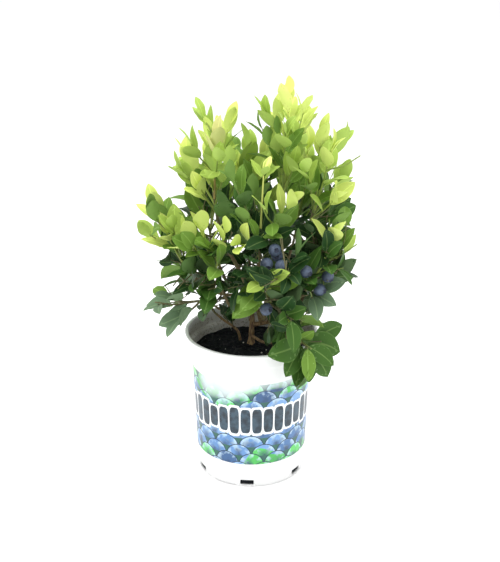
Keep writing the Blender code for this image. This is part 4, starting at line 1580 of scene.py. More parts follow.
class Space:
    """The room each mass may fill: nearer to its own twigs than to others."""

    def __init__(self, limbs: dict[str, tuple[Array, Array]]) -> None:
        """Keep closely spaced points of every limb, with their radii.

        Args:
            limbs: The line and radii of each limb.
        """
        close = [closely(line, radii) for line, radii in limbs.values()]
        self.limb_points = np.vstack([points for points, _ in close])
        self.limb_radii = np.concatenate([radii for _, radii in close])
        self.limb_lines = np.vstack([np.stack((line[:-1], line[1:]), axis=1)
                                     for line, _ in limbs.values()])
        self.twig_points = np.zeros((0, 3))
        self.owners = np.zeros(0, dtype=int)
        self.twig_lines = np.zeros((0, 2, 3))
        self.leaf_lines = np.zeros((0, 2, 3))
        self.leaf_faces = np.zeros((0, 3, 3))
        self.leaf_centres = np.zeros((0, 3))
        self.sight_lines = np.zeros((0, 2, 3))
        self.fruit: list[Array] = []

    def in_outline(self, points: Array) -> bool:
        """Tell whether points lie in the crown's outline, off pot and soil.

        Args:
            points: The points.

        Returns:
            True where all do.
        """
        x, y, z = points.T
        ring = np.hypot(x, y)
        above_rim = z > POT.height + GROWTH.rim_margin
        above_soil = z > POT.soil_level + GROWTH.soil_margin
        inside = (ring < POT.neck_radius - GROWTH.wall_margin) & above_soil
        outside = ring > POT.lip_radius + GROWTH.rim_margin
        across = (x - GROWTH.crown_centre[0]) / GROWTH.crown_reach[0]
        deep = (y - GROWTH.crown_centre[1]) / GROWTH.crown_reach[1]
        in_crown = (across ** 2 + deep ** 2 < 1.0) & (z < GROWTH.crown_top)
        low = z < GROWTH.view_height + GROWTH.view_slope * (GROWTH.trunk_foot[1] - y)
        hides_trunk = low & (np.abs(x) < GROWTH.view_width) & (y < GROWTH.trunk_foot[1])
        return bool(((above_rim | inside | outside) & in_crown & ~hides_trunk).all())

    def keep_in_view(self, twig: Twig) -> None:
        """Keep leaves from passing in front of a bare shoot.

        Args:
            twig: The bare shoot.
        """
        dense = dots(twig.points)
        first, last = (int(share * len(dense)) for share in GROWTH.sight_shares)
        shown = dense[first:last]
        self.sight_lines = np.stack((shown, shown + np.array(GROWTH.sight_way)), axis=1)

    def add_twig(self, twig: Twig, owner: int) -> None:
        """Add a twig's points to the room that its mass holds.

        Args:
            twig: The twig.
            owner: The number of its mass.
        """
        dense = dots(twig.points)
        self.twig_points = np.vstack((self.twig_points, dense))
        self.owners = np.concatenate((self.owners, np.full(len(dense), owner)))
        lines = np.stack((twig.points[:-1], twig.points[1:]), axis=1)
        self.twig_lines = np.vstack((self.twig_lines, lines))

    def to_limbs(self, points: Array) -> float:
        """Return how near points come to the bark of any limb."""
        away = np.linalg.norm(points[:, None] - self.limb_points[None], axis=2)
        return float((away - self.limb_radii).min())

    def free_line(self, points: Array, owner: int) -> bool:
        """Tell whether a shoot's line stays off the limbs and other masses.

        Args:
            points: The line's points.
            owner: The number of its mass.

        Returns:
            True where it does.
        """
        dense = dots(points)
        if self.to_limbs(dense) < GROWTH.twig_radius + GROWTH.line_margin:
            return False
        others = self.twig_points[self.owners != owner]
        to_others = np.linalg.norm(dense[:, None] - others[None], axis=2)
        return bool(to_others.min() > 2 * GROWTH.twig_radius + GROWTH.line_margin)

    def holds(self, points: Array, owner: int) -> bool:
        """Tell whether points lie in the owner's room, off limbs and pot.

        Args:
            points: The points.
            owner: The number of the mass.

        Returns:
            True where all do.
        """
        if not self.in_outline(points) or self.to_limbs(points) < GROWTH.space_margin:
            return False
        to_twigs = np.linalg.norm(points[:, None] - self.twig_points[None], axis=2)
        own = to_twigs[:, self.owners == owner].min(axis=1)
        others = to_twigs[:, self.owners != owner].min(axis=1)
        return bool((others - own).min() > GROWTH.space_margin)

    def near_twig(self, points: Array) -> bool:
        """Tell whether the outer points come close to any twig at all."""
        distances = np.linalg.norm(points[1:, None] - self.twig_points[None], axis=2)
        return bool(distances.min() < 2 * GROWTH.spacing)

    def off_fruit(self, outline: Array) -> bool:
        """Tell whether a leaf leaves the fruit free on its outer side.

        Args:
            outline: Points round the leaf.

        Returns:
            True where it does.
        """
        clear = GROWTH.fruit_radius + GROWTH.fruit_margin
        for place in self.fruit:
            way = unit(place - UP * (place[2] - GROWTH.fruit_below))
            away = outline - place
            ahead = away @ way
            beside = np.linalg.norm(away - ahead[:, None] * way, axis=1)
            if (np.linalg.norm(away, axis=1) < clear).any():
                return False
            if place[1] < GROWTH.fruit_shown and ((ahead > 0) & (beside < clear)).any():
                return False
        return True

    def takes_leaf(self, outline: Array, owner: int, spacing: float) -> bool:
        """Tell whether a leaf fits, and if so count it as taken.

        Args:
            outline: Points round the leaf and down its middle.
            owner: The number of its mass.
            spacing: How near its middle may come to another leaf's.

        Returns:
            True where it fits.
        """
        centre = outline.mean(axis=0)
        near = np.linalg.norm(self.leaf_centres - centre, axis=1)
        if len(near) and near.min() < spacing:
            return False
        if not self.off_fruit(outline) or not self.holds(outline, owner):
            return False
        root, left, right, tip = outline[0], outline[3], outline[4], outline[-1]
        faces = np.array(((root, left, right), (tip, left, right)))
        lines = np.array(((root, left), (left, tip), (tip, right), (right, root), (root, tip)))
        beside = near < GROWTH.leaf_length * GROWTH.near_leaf
        close, close_lines = np.repeat(beside, len(faces)), np.repeat(beside, len(lines))
        wide = centre + (faces - centre) * GROWTH.limb_margin
        if pierced(self.leaf_faces[close], lines) or pierced(faces, self.twig_lines):
            return False
        if pierced(wide, self.limb_lines) or pierced(wide, self.sight_lines):
            return False
        if pierced(faces, self.leaf_lines[close_lines]):
            return False
        self.leaf_centres = np.vstack((self.leaf_centres, centre))
        self.leaf_faces = np.vstack((self.leaf_faces, faces))
        self.leaf_lines = np.vstack((self.leaf_lines, lines))
        return True


@dataclass
class GrownMass:
    """A mass as it has grown: its twigs, leaves and fruit."""

    mass: Mass
    twigs: list[Twig]
    fruit: list[tuple[Array, list[Array]]] = field(default_factory=list)
    leaves: list[Leaf] = field(default_factory=list)


class Bush:
    """The whole plant, grown in the order of the rule."""

    def __init__(self) -> None:
        """Grow limbs, stems, shoots, fruit, side twigs, leaves and sprigs."""
        self.limbs = GROWTH.limbs()
        space = Space(self.limbs)
        self.masses = [GrownMass(mass, [GROWTH.stem(mass, *self.limbs[mass.bough])])
                       for mass in MASSES]
        for owner, grown in enumerate(self.masses):
            space.add_twig(grown.twigs[0], owner)
        for owner, grown in enumerate(self.masses):
            grown.twigs += GROWTH.shoots(grown.mass, grown.twigs[0], space, owner)
        for twig in [twig for grown in self.masses for twig in grown.twigs]:
            if twig.kind == "bare":
                space.keep_in_view(twig)
        for grown in self.masses:
            grown.fruit = [GROWTH.fruit_places(cluster, grown.twigs)
                           for cluster in grown.mass.fruit]
            space.fruit += [place for _, places in grown.fruit for place in places]
        for owner, grown in enumerate(self.masses):
            draw = random.Random(40 + owner)
            grown.twigs += GROWTH.side_twigs(grown.twigs[1:], draw, space, owner)
        for owner, grown in enumerate(self.masses):
            draw = random.Random(grown.mass.seed)
            for twig in grown.twigs[1:]:
                grown.leaves += GROWTH.leaves(twig, grown.mass.leaf, draw, space, owner)
        for owner, grown in enumerate(self.masses):
            draw = random.Random(140 + owner)
            lines = [(twig.points, 0.10, twig.tint) for twig in grown.twigs[1:]
                     if twig.kind != "bare"]
            lines.append((self.limbs[grown.mass.bough][0], GROWTH.bough_share, Tint.MATURE))
            sprigs = GROWTH.sprigs(lines, draw, space, owner)
            for twig in grown.twigs[1:] + sprigs:
                grown.leaves += GROWTH.fine_leaves(twig, grown.mass.leaf, draw, space, owner)
            grown.twigs += sprigs
            log.info("%s: %d leaves", grown.mass.name, len(grown.leaves))


@dataclass(frozen=True)
class LeafShape:
    """How a leaf is cut: a closed thin shell in its own pointed outline."""

    rows: int = 12
    columns: tuple = (-1.0, -0.90, -0.48, -0.07, 0.07, 0.48, 0.90, 1.0)
    under: tuple = (-0.90, -0.48, 0.0, 0.48, 0.90)
    root: float = 0.07
    thickness: float = 0.35
    zones: tuple = (2, 0, 0, 1, 0, 0, 2)
    bow: tuple = (0.00, 0.10)
    sweep: tuple = (-0.05, 0.05)
    twist: tuple = (-0.45, 0.45)
    fold: tuple = (0.10, 0.42)
    wave: tuple = (0.0, 0.05)
    widths: tuple = (0.9, 1.08)
    slim: float = 0.95
    belly: float = 0.95
    fullness: float = 0.86
    quilts: float = 5.5
    quilt_slant: float = 0.9
    quilt_height: float = 0.010
    rib_depth: float = 0.12

    def faces(self) -> tuple[list[tuple[int, ...]], list[int]]:
        """Return a leaf's faces and the number of the colour of each.

        Returns:
            The faces and their colours' numbers.
        """
        wide, deep = len(self.columns), len(self.under)
        row = wide + deep
        faces, slots = [], []
        upper = [list(range(2 + index * row, 2 + index * row + wide))
                 for index in range(self.rows - 1)]
        lower = [[top[0]] + [top[-1] + 1 + index for index in range(deep)] + [top[-1]]
                 for top in upper]
        for index, colour in enumerate(self.zones):
            faces.append((0, upper[0][index + 1], upper[0][index]))
            faces.append((1, upper[-1][index], upper[-1][index + 1]))
            slots += [colour, colour]
            for low, high in zip(upper, upper[1:]):
                faces.append((low[index], low[index + 1], high[index + 1], high[index]))
                slots.append(colour)
        for index in range(deep + 1):
            faces.append((0, lower[0][index], lower[0][index + 1]))
            faces.append((1, lower[-1][index + 1], lower[-1][index]))
            slots += [3, 3]
            for low, high in zip(lower, lower[1:]):
                faces.append((low[index + 1], low[index], high[index], high[index + 1]))
                slots.append(3)
        return faces, slots

    def points(self, leaf: Leaf, look: random.Random) -> Array:
        """Return a leaf's points: root, tip, then its rows.

        Args:
            leaf: The leaf.
            look: Random numbers for how it bends, which no rule reads.

        Returns:
            The points in millimetres.
        """
        bow, sweep, twist, fold, wave = (look.uniform(*ends) for ends in (
            self.bow, self.sweep, self.twist, self.fold, self.wave))
        phase = look.random() * math.tau
        s = np.arange(1, self.rows) / self.rows
        down = self.root + (1.0 - self.root) * s
        slim = self.slim if leaf.base[2] > GROWTH.high_growth else 1.0
        half = 0.5 * GROWTH.leaf_width * leaf.length * slim * look.uniform(*self.widths)
        width = half * (4 * s ** self.belly * (1 - s ** self.belly)) ** self.fullness
        v = np.array(self.columns + self.under)
        is_under = np.array([False] * len(self.columns) + [True] * len(self.under))
        x = width[:, None] * v[None]
        rise = leaf.length * bow * np.sin(math.pi * s)[:, None] + 0 * x
        rise += fold * np.abs(x) * (1.0 - 0.35 * np.abs(v))
        rise += wave * half * np.sin(3 * math.tau * s + phase)[:, None] * np.abs(v) ** 2
        slant = self.quilt_slant * np.abs(v)[None]
        quilt = np.cos(math.tau * (self.quilts * s[:, None] - slant))
        rise += self.quilt_height * leaf.length * quilt * np.abs(v) * (1 - np.abs(v)) * 2
        rise -= self.thickness * is_under * np.sin(math.pi * s)[:, None] * (1 - v ** 4)
        rise -= self.rib_depth * (np.abs(v) < 0.1) * ~is_under
        turn = twist * (s - 0.35)[:, None]
        across = x * np.cos(turn) - rise * np.sin(turn) * 0.4
        across = across + leaf.length * sweep * np.sin(math.pi * s)[:, None]
        up = rise + x * np.sin(turn)
        middle = leaf.base + leaf.along * (leaf.length * down[:, None])
        rows = (middle[:, None] + leaf.across * across[:, :, None] + leaf.face * up[:, :, None])
        root = leaf.base + leaf.along * (leaf.length * self.root)
        tip = leaf.base + leaf.along * leaf.length
        return np.vstack((root, tip, rows.reshape(-1, 3)))


@dataclass(frozen=True)
class Foliage:
    """The leaves of every mass, one joined piece to each mass."""

    shape: LeafShape = LeafShape()
    seed: int = 7

    def build(self, bush: Bush) -> None:
        """Make the leaf pieces.

        Args:
            bush: The grown bush.
        """
        faces, slots = self.shape.faces()
        look = random.Random(self.seed)
        for grown in bush.masses:
            tints = sorted({leaf.tint for leaf in grown.leaves}, key=lambda tint: tint.name)
            pile = MeshPile()
            for leaf in grown.leaves:
                first = 4 * tints.index(leaf.tint)
                pile.add(self.shape.points(leaf, look), faces, [first + slot for slot in slots])
            materials = [made for tint in tints for made in LeafFinish(tint).make()]
            name = grown.mass.name.replace("foliage", "leaves")
            pile.make(name, materials, 70.0, grown.mass.slot, grown.mass.name)


def ring_ways(side: Array, front: Array, count: int) -> Array:
    """Return even directions once round, from one direction by another."""
    angles = turns(count)
    return np.cos(angles)[:, None] * side + np.sin(angles)[:, None] * front


def ring_faces(rings: int, sides: int) -> list[tuple[int, ...]]:
    """Return the faces between each ring of points and the next.

    Args:
        rings: How many rings there are.
        sides: How many points a ring has.

    Returns:
        The faces, ring by ring.
    """
    pairs = [(corner, (corner + 1) % sides) for corner in range(sides)]
    return [(low + corner, low + after, low + sides + after, low + sides + corner)
            for low in range(0, (rings - 1) * sides, sides) for corner, after in pairs]


def tube(points: Array, radii: Array, sides: int) -> tuple[Array, list[tuple[int, ...]]]:
    """Return the points and faces of a closed tapering tube.

    Args:
        points: Its middle line.
        radii: Its radius at each point.
        sides: How many sides it has.

    Returns:
        Its points and its faces.
    """
    ways = tangents(points)
    side = cross_frame(ways[0])[0]
    rings = []
    for point, way, radius in zip(points, ways, radii):
        side = unit(side - way * float(side @ way))
        rings.append(point + radius * ring_ways(side, np.cross(way, side), sides))
    faces = ring_faces(len(points), sides)
    faces.append(tuple(reversed(range(sides))))
    faces.append(tuple(range((len(points) - 1) * sides, len(points) * sides)))
    return np.vstack(rings), faces


@dataclass(frozen=True)
class Twigs:
    """The green wood: twigs, leaf stalks and buds, joined in one piece."""

    sides: int = 7
    stalk_sides: int = 5
    stalk_radius: float = 0.6
    bud_length: float = 3.2
    bud_radii: tuple = (1.25, 0.12)
    sunk: float = 2.0
    swelling: float = 0.10
    stalk_places: tuple = (0.06, 0.13)
    stalk_bow: float = 0.3
    stalk_shares: tuple = (1.3, 1.0, 0.35)

    def build(self, bush: Bush) -> None:
        """Make the piece.

        Args:
            bush: The grown bush.
        """
        tints = list(Tint)
        pile = MeshPile()
        for grown in bush.masses:
            for twig in grown.twigs:
                self.add_twig(pile, twig, tints.index(twig.tint))
            for leaf in grown.leaves:
                self.add_stalk(pile, leaf, tints.index(leaf.tint))
        materials = [TwigFinish(tint).make() for tint in tints]
        pile.make("twigs", materials, 70.0, "bark")

    def add_twig(self, pile: MeshPile, twig: Twig, slot: int) -> None:
        """Add one twig, swollen a little at its joints, with a bud at its tip.

        Args:
            pile: The pile that it goes on.
            twig: The twig.
            slot: The number of its colour.
        """
        line = np.array(twig.points)
        if twig.kind == "stem":
            line[0] = line[0] - unit(line[1] - line[0]) * self.sunk
        radii = np.linspace(twig.radius, twig.tip_radius, len(line))
        parts = 3 if twig.kind == "sprig" else 5
        points, radii = rounded(line, radii, parts)
        lengths = np.linspace(0.0, line_length(points), len(points))
        radii = radii * (1.0 + self.swelling * np.cos(math.tau * lengths / GROWTH.leaf_step))
        tip_way = unit(points[-1] - points[-2])
        points = np.vstack((points, points[-1] + tip_way * self.bud_length * 0.5,
                            points[-1] + tip_way * self.bud_length))
        thick, fine = self.bud_radii
        radii = np.concatenate((radii, (twig.tip_radius * thick, fine)))
        pile.add(*tube(points, radii, self.sides), slot)

    def add_stalk(self, pile: MeshPile, leaf: Leaf, slot: int) -> None:
        """Add a leaf's stalk, from its twig to a little way into the blade.

        Args:
            pile: The pile that it goes on.
            leaf: The leaf.
            slot: The number of its colour.
        """
        middle, end = (leaf.base + leaf.along * (leaf.length * share)
                       for share in self.stalk_places)
        points = np.array((leaf.base, middle + leaf.face * self.stalk_bow, end))
        radii = self.stalk_radius * np.array(self.stalk_shares)
        pile.add(*tube(points, radii, self.stalk_sides), slot)


@dataclass(frozen=True)
class Wood:
    """Trunk, low cane and boughs with the relief of their bark."""

    sides: int = 18
    step: float = 1.6
    ridge: float = 0.22
    sunk: tuple = (3.0, 6.0)
    collar: float = 0.35
    collar_length: float = 3.0

    def build(self, bush: Bush) -> None:
        """Make the piece that stands for every limb.

        Args:
            bush: The grown bush.
        """
        pile = MeshPile()
        for index, (name, (line, radii)) in enumerate(bush.limbs.items()):
            self.add_limb(pile, index, name, line, radii)
        pile.make("barked_wood", [BarkFinish().make()], 50.0, "bark", *bush.limbs)

    def add_limb(self, pile: MeshPile, index: int, name: str, line: Array, radii: Array) -> None:
        """Add one limb, its foot sunk into the limb that carries it.

        Args:
            pile: The pile that it goes on.
            index: The limb's number, which sets its relief apart.
            name: The limb's name.
            line: The points of its middle line.
            radii: Its radii.
        """
        from_soil = name in ("trunk", "low_cane")
        sunk = self.sunk[from_soil]
        line, radii = rounded(line, radii, 6)
        line = np.vstack((line[0] - unit(line[1] - line[0]) * sunk, line))
        radii = np.concatenate((radii[:1], radii))
        line, radii = closely(line, radii, self.step)
        lengths = np.arange(len(line)) * self.step
        if not from_soil:
            radii = radii * (1.0 + self.collar * np.exp(-lengths / self.collar_length))
        points, faces = tube(line, radii, self.sides)
        centres = np.repeat(line, self.sides, axis=0)
        angles = np.tile(turns(self.sides), len(line))
        down = np.repeat(lengths, self.sides)
        relief = np.sin(3 * angles + 0.11 * down + index)
        relief += 0.8 * np.sin(5 * angles - 0.07 * down + 2 * index)
        relief += [1.6 * noise.noise(Vector((point[0] * 0.5, point[1] * 0.5, point[2] * 0.2)))
                   for point in points]
        out = points - centres
        size = np.linalg.norm(out, axis=1)[:, None]
        height = self.ridge * relief[:, None] * np.clip(size / 3.0, 0.3, 1.0) * 0.5
        pile.add(centres + out / size * (size + height), faces)


@dataclass(frozen=True)
class Berries:
    """The ripe fruit with their crowns and stalks, joined in one piece."""

    around: int = 30
    rows: int = 14
    crown: tuple = ((0.02, 0.80, 0.0), (0.16, 0.80, 0.0), (0.25, 0.86, 0.2),
                    (0.30, 1.00, 1.0), (0.36, 1.01, 1.0), (0.40, 0.915, 0.3))
    crown_angle: float = 0.42
    flatness: float = 0.93
    lobe_width: float = 0.045
    lobe_height: float = 0.05
    sizes: tuple = (0.93, 1.04)
    seed: int = 11

    def profile(self) -> list[tuple[float, float, float]]:
        """Return (radius, height, lobe) rings of a berry of radius one.

        Returns:
            The rings, from the crown down.
        """
        rings = list(self.crown)
        for step in range(1, self.rows):
            polar = self.crown_angle + (math.pi - self.crown_angle) * step / self.rows
            rings.append((math.sin(polar), math.cos(polar) * self.flatness, 0.0))
        return rings + [(0.03, -self.flatness, 0.0)]

    def add(self, pile: MeshPile, place: Array, way: Array, radius: float) -> None:
        """Add one berry.

        Args:
            pile: The pile that it goes on.
            place: Its middle.
            way: The direction that its crown faces.
            radius: Its radius.
        """
        around = ring_ways(*cross_frame(way), self.around)
        lobes = np.cos(5 * turns(self.around))
        rings = self.profile()
        points = []
        for ring, height, lobe in rings:
            wide = (ring + self.lobe_width * lobe * lobes) * radius
            high = (height + self.lobe_height * lobe * lobes) * radius
            points.append(place + wide[:, None] * around + high[:, None] * way)
        faces = [(a, d, c, b) for a, b, c, d in ring_faces(len(rings), self.around)]
        in_crown = (len(self.crown) - 1) * self.around
        slots = [1] * in_crown + [0] * (len(faces) - in_crown)
        faces.append(tuple(range(self.around)))
        last = (len(rings) - 1) * self.around
        faces.append(tuple(reversed(range(last, last + self.around))))
        pile.add(np.vstack(points), faces, slots + [1, 0])

    def build(self, bush: Bush) -> None:
        """Make the piece.

        Args:
            bush: The grown bush.
        """
        look = random.Random(self.seed)
        pile = MeshPile()
        for grown in bush.masses:
            for start, places in grown.fruit:
                for place in places:
                    out = unit(place - UP * place[2])
                    tilt = np.array([look.uniform(-0.5, 0.5), look.uniform(-0.2, 0.2),
                                     look.uniform(-0.5, 0.35)])
                    way = unit(out + tilt)
                    radius = GROWTH.fruit_radius * look.uniform(*self.sizes)
                    self.add(pile, place, way, radius)
                    foot = place - way * radius * 0.85
                    hang = (start + foot) * 0.5 + UP * 2.0
                    stalk = np.array((start, hang, foot))
                    line, radii = rounded(stalk, np.array((0.9, 0.6, 0.8)), 5)
                    pile.add(*tube(line, radii, 6), 2)
        stalk_green = PlainFinish("berry_stalk", (0.20, 0.26, 0.08), 0.6).make()
        pile.make("berries", BerryFinish().make() + [stalk_green], 60.0, "fruit")


@dataclass(frozen=True)
class SoilBed:
    """The soil that fills the pot, with crumbs, bark chips and grit on top."""

    sides: int = 120
    rings: int = 44
    flat_radius: float = 34.0
    lumps: tuple = ((0.06, 0.3, 2.2), (0.33, 4.0, 1.1), (0.9, 9.0, 0.5))
    chips: int = 420
    grit: int = 24
    seed: int = 5

    def height(self, x: float, y: float) -> float:
        """Return the height of the soil's top at a place.

        Args:
            x: The place across.
            y: The place in depth.

        Returns:
            The height.
        """
        ring = math.hypot(x, y)
        edge = POT.wall_radius(POT.soil_level) - POT.wall
        beyond = max(0.0, ring - self.flat_radius)
        level = POT.soil_level - POT.soil_drop * beyond / (edge - self.flat_radius)
        for scale, shift, tall in self.lumps:
            level += tall * noise.noise(Vector((x * scale, y * scale, shift)))
        return level

    def build(self) -> None:
        """Make the soil and what lies on it."""
        edge_low = POT.wall_radius(POT.foot_height + 2.0) - POT.wall - 2 * GAP
        edge_high = POT.wall_radius(POT.soil_level - POT.soil_drop) - POT.wall - GAP
        points = [np.array((0.0, 0.0, POT.floor + GAP)), np.array((0.0, 0.0, self.height(0, 0)))]
        angles = turns(self.sides)
        for ring in range(1, self.rings + 1):
            radius = edge_high * ring / self.rings
            for angle in angles:
                x, y = radius * math.cos(angle), radius * math.sin(angle)
                points.append(np.array((x, y, self.height(x, y))))
        for angle in angles:
            points.append(np.array((edge_low * math.cos(angle), edge_low * math.sin(angle),
                                    POT.floor + GAP + 2.0)))
        faces = []
        for corner in range(self.sides):
            after = (corner + 1) % self.sides
            faces.append((1, 2 + corner, 2 + after))
            for ring in range(self.rings):
                low, high = 2 + ring * self.sides, 2 + (ring + 1) * self.sides
                faces.append((low + corner, high + corner, high + after, low + after))
            last = 2 + self.rings * self.sides
            faces.append((0, last + after, last + corner))
        pile = MeshPile()
        pile.add(np.array(points), faces)
        pile.make("soil_bed", [SoilFinish().make()], 80.0, "soil", "soil")
        self.scatter(edge_high)

    def scatter(self, edge: float) -> None:
        """Scatter flat bark chips and pale grit over the soil.

        Args:
            edge: The soil's radius.
        """
        look = random.Random(self.seed)
        pile = MeshPile()
        box = [(x, y, z) for x in (-1, 1) for y in (-1, 1) for z in (-1, 1)]
        sides = [(0, 1, 3, 2), (4, 6, 7, 5), (0, 4, 5, 1), (2, 3, 7, 6), (0, 2, 6, 4),
                 (1, 5, 7, 3)]
        for index in range(self.chips + self.grit):
            ring, angle = edge * math.sqrt(look.random()) * 0.96, look.random() * math.tau
            x, y = ring * math.cos(angle), ring * math.sin(angle)
            pale = index >= self.chips
            size = look.uniform(0.5, 1.1) if pale else look.uniform(0.8, 2.6)
            shape = (size, size * 0.8, size * 0.7) if pale else (
                size * look.uniform(1.0, 2.2), size * look.uniform(0.5, 1.0), size * 0.3)
            turn = Vector((look.uniform(-0.5, 0.5), look.uniform(-0.5, 0.5), 0.0))
            spin = look.random() * math.tau
            points = []
            for corner in box:
                jitter = [look.uniform(0.55, 1.0) for _ in range(3)]
                local = Vector([c * s * j for c, s, j in zip(corner, shape, jitter)])
                along = Vector((math.cos(spin), math.sin(spin), turn.x))
                aside = Vector((-math.sin(spin), math.cos(spin), turn.y))
                up = along.cross(aside)
                point = along * local.x + aside * local.y + up * local.z
                points.append((x + point.x, y + point.y, self.height(x, y) + 0.4 + point.z))
            slot = 2 if pale else index % 2
            pile.add(np.array(points), sides, slot)
        materials = [PlainFinish("chip_dark", (0.003, 0.005, 0.007), 0.9).make(),
                     PlainFinish("chip_brown", (0.012, 0.013, 0.014), 0.85).make(),
                     PlainFinish("grit_pale", (0.52, 0.50, 0.44), 0.8).make()]
        pile.make("soil_crumbs", materials, 20.0, "soil")


@dataclass(frozen=True)
class Pot:
    """The moulded pot: body, stepped collar, rolled lip, slots and print."""

    sizes: PotSizes = POT
    sides: int = 144
    film: PrintFinish = PrintFinish()
    easing: float = 0.9
    easing_share: float = 0.42
    bands: tuple = (16.0, 60.0, 88.0, 116.0)

    def profile(self) -> list[tuple[float, float]]:
        """Return the wall's section as (radius, height), foot first.

        Returns:
            The section's points.
        """
        size = self.sizes
        neck = size.neck_radius - size.wall
        corners = [
            (size.base_radius, 0.0), (size.foot_radius, size.foot_height),
            (size.neck_radius, size.neck_height),
            (size.collar_radius, size.neck_height + size.collar_step),
            (size.collar_radius + 0.9, size.height - size.lip_height),
            (size.lip_radius, size.height - size.lip_height + 1.0),
            (size.lip_radius, size.height - 0.6), (size.lip_radius - 1.2, size.height),
            (size.mouth_radius + 0.8, size.height), (size.mouth_radius, size.height - 1.2),
            (size.collar_radius - size.wall - 0.3, size.neck_height + size.collar_step),
            (neck, size.neck_height - 0.6), (size.foot_radius - size.wall, size.foot_height),
            (size.foot_radius - size.wall - 1.2, size.floor)]
        eased = [(0.0, 0.0)]
        for before, corner, after in zip([(0.0, 0.0)] + corners, corners,
                                         corners[1:] + [(0.0, size.floor)]):
            start, middle, end = (Vector(point) for point in (before, corner, after))
            first, last = (middle + (other - middle).normalized() * min(
                self.easing, self.easing_share * (other - middle).length)
                for other in (start, end))
            for t in (0.0, 0.25, 0.5, 0.75, 1.0):
                point = first * (1 - t) ** 2 + middle * (2 * t * (1 - t)) + last * t ** 2
                eased.append((point.x, point.y))
        for height in sorted((*self.bands, self.film.low, self.film.high)):
            place = next(index for index, point in enumerate(eased) if point[1] > height)
            eased.insert(place, (size.wall_radius(height), height))
        return eased + [(0.0, size.floor)]

    def zone(self, centre: Vector, normal: Vector) -> int:
        """Return a face's finish: 0 plain, 1 printed, 2 inside, stained and darkened with painted
        shade.

        Args:
            centre: The face's middle, in metres.
            normal: Its direction.

        Returns:
            The finish's number.
        """
        ring, height = math.hypot(centre.x, centre.y), centre.z / MM
        outward = normal.x * centre.x + normal.y * centre.y > 0
        on_wall = ring / MM > self.sizes.wall_radius(height) - 0.8 * self.sizes.wall
        if self.film.low < height < self.film.high and outward and on_wall:
            return 1
        return 2 if not outward and height > 20.0 else 0

    def cutter(self) -> bpy.types.Object:
        """Return the shape that cuts the drain slots and the foot's arches.

        Returns:
            The shape.
        """
        size = self.sizes
        pile = MeshPile()
        for index in range(size.slot_count):
            turn = size.slot_turn + math.tau * index / size.slot_count
            self.add_plug(pile, turn, size.slot_width, size.slot_bottom, size.slot_height, 1.6)
        for index in range(size.arch_count):
            turn = size.arch_turn + math.tau * index / size.arch_count
            self.add_plug(pile, turn, size.arch_width, -6.0, 6.0 + size.arch_height, 3.0)
        mesh = bpy.data.meshes.new("cutter")
        mesh.from_pydata((np.vstack(pile.points) * MM).tolist(), [], pile.faces)
        return placed("cutter", mesh)

    def add_plug(self, pile: MeshPile, turn: float, width: float, low: float, height: float,
                 corner: float) -> None:
        """Add one plug with rounded corners that points out of the pot.

        Args:
            pile: The pile that it goes on.
            turn: Its turn round the pot.
            width: Its width.
            low: The height of its lower edge.
            height: Its own height.
            corner: The radius of its corners.
        """
        out = np.array((math.sin(turn), -math.cos(turn), 0.0))
        side = np.array((math.cos(turn), math.sin(turn), 0.0))
        outline = []
        for quarter in range(4):
            across = (width / 2 - corner) * (1 if quarter in (0, 3) else -1)
            upward = low + (height - corner if quarter < 2 else corner)
            for step in range(5):
                angle = (quarter + step / 4.0) * math.pi / 2
                outline.append((across + corner * math.cos(angle),
                                upward + corner * math.sin(angle)))
        near, far = self.sizes.foot_radius - 4.0, self.sizes.foot_radius + 5.0
        points = [out * ring + side * x + UP * z for ring in (near, far) for x, z in outline]
        count = len(outline)
        faces = [(index, (index + 1) % count, count + (index + 1) % count, count + index)
                 for index in range(count)]
        faces += [tuple(reversed(range(count))), tuple(range(count, 2 * count))]
        pile.add(np.array(points), faces)

    def build(self) -> None:
        """Make the pot."""
        profile = self.profile()
        work = bmesh.new()
        rings = []
        for radius, height in profile:
            count = 1 if radius == 0.0 else self.sides
            rings.append([work.verts.new((radius * MM * math.cos(math.tau * index / count),
                                          radius * MM * math.sin(math.tau * index / count),
                                          height * MM)) for index in range(count)])
        for lower, upper in zip(rings, rings[1:]):
            for index in range(self.sides):
                after = (index + 1) % self.sides
                corners = [lower[index % len(lower)], lower[after % len(lower)],
                           upper[after % len(upper)], upper[index % len(upper)]]
                work.faces.new(tuple(dict.fromkeys(corners)))
        bmesh.ops.recalc_face_normals(work, faces=work.faces)
        mesh = bpy.data.meshes.new("moulded_pot")
        work.to_mesh(mesh)
        work.free()
        made = placed("moulded_pot", mesh)
        cutter = self.cutter()
        modifier = made.modifiers.new("drain", "BOOLEAN")
        modifier.operation = "DIFFERENCE"
        modifier.object = cutter
        graph = bpy.context.evaluated_depsgraph_get()
        made.data = bpy.data.meshes.new_from_object(made.evaluated_get(graph))
        made.modifiers.clear()
        bpy.data.objects.remove(cutter)
        plastic = PlasticFinish()
        # pot_inside carries dirt and painted shade on the inner wall, darker towards the soil.
        for material in (plastic.make("pot_plastic", False), self.film.make(),
                         plastic.make("pot_inside", True)):
            made.data.materials.append(material)
        for face in made.data.polygons:
            face.material_index = self.zone(face.center, face.normal)
        made.data.shade_smooth()
        made.data.set_sharp_from_angle(angle=math.radians(35.0))
        finish_piece(made, "pot", "pot")


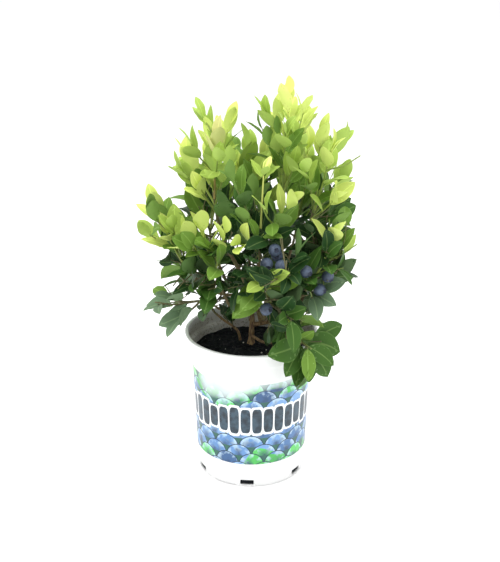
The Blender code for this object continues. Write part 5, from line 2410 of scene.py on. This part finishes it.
@dataclass(frozen=True)
class Studio:
    """The pale floor, the soft light and the camera."""

    floor_height: float = -0.0002
    aim: tuple = (0, 0, 0.25)
    key: float = 14.0
    top: float = 22.0
    fill: float = 2.0
    sky: float = 1.04

    def light(self, name: str, place: tuple, size: float, energy: float) -> None:
        """Add a square soft light.

        Args:
            name: The light's name.
            place: Where it hangs.
            size: Its width.
            energy: Its power in watts.
        """
        data = bpy.data.lights.new(name, "AREA")
        data.size = size
        data.energy = energy
        made = placed(name, data)
        made.location = place
        made.rotation_euler = (Vector(self.aim) - Vector(place)).to_track_quat("-Z", "Y").to_euler()

    def build(self) -> None:
        """Make the floor, lights, sky and camera."""
        scene = bpy.context.scene
        scene.view_settings.view_transform = "Standard"
        mesh = bpy.data.meshes.new("floor")
        mesh.from_pydata([(-9, -9, 0), (9, -9, 0), (9, 9, 0), (-9, 9, 0)], [], [(0, 1, 2, 3)])
        mesh.materials.append(PlainFinish("floor_white", (0.97, 0.97, 0.97), 0.9).make())
        floor = placed("floor", mesh)
        floor.location.z = self.floor_height
        self.light("key", (-0.9, -0.9, 1.7), 0.9, self.key)
        self.light("top", (0.3, 0.3, 1.9), 1.2, self.top)
        self.light("fill", (1.4, -1.2, 0.8), 1.2, self.fill)
        world = bpy.data.worlds.new("sky")
        world.use_nodes = True
        background = world.node_tree.nodes["Background"]
        background.inputs["Color"].default_value = (1.0, 1.0, 1.0, 1.0)
        background.inputs["Strength"].default_value = self.sky
        scene.world = world
        data = bpy.data.cameras.new("camera")
        data.lens = CAMERA.lens
        camera = placed("camera", data)
        camera.location = [part * MM for part in CAMERA.place]
        camera.rotation_euler = (math.pi / 2 - CAMERA.pitch, 0.0, 0.0)
        scene.camera = camera


def main() -> None:
    """Build every part of the scene."""
    logging.basicConfig(level=logging.INFO, format="%(name)s %(message)s")
    Studio().build()
    Pot().build()
    SoilBed().build()
    bush = Bush()
    Wood().build(bush)
    Twigs().build(bush)
    Foliage().build(bush)
    Berries().build(bush)


if __name__ == "__main__":
    main()
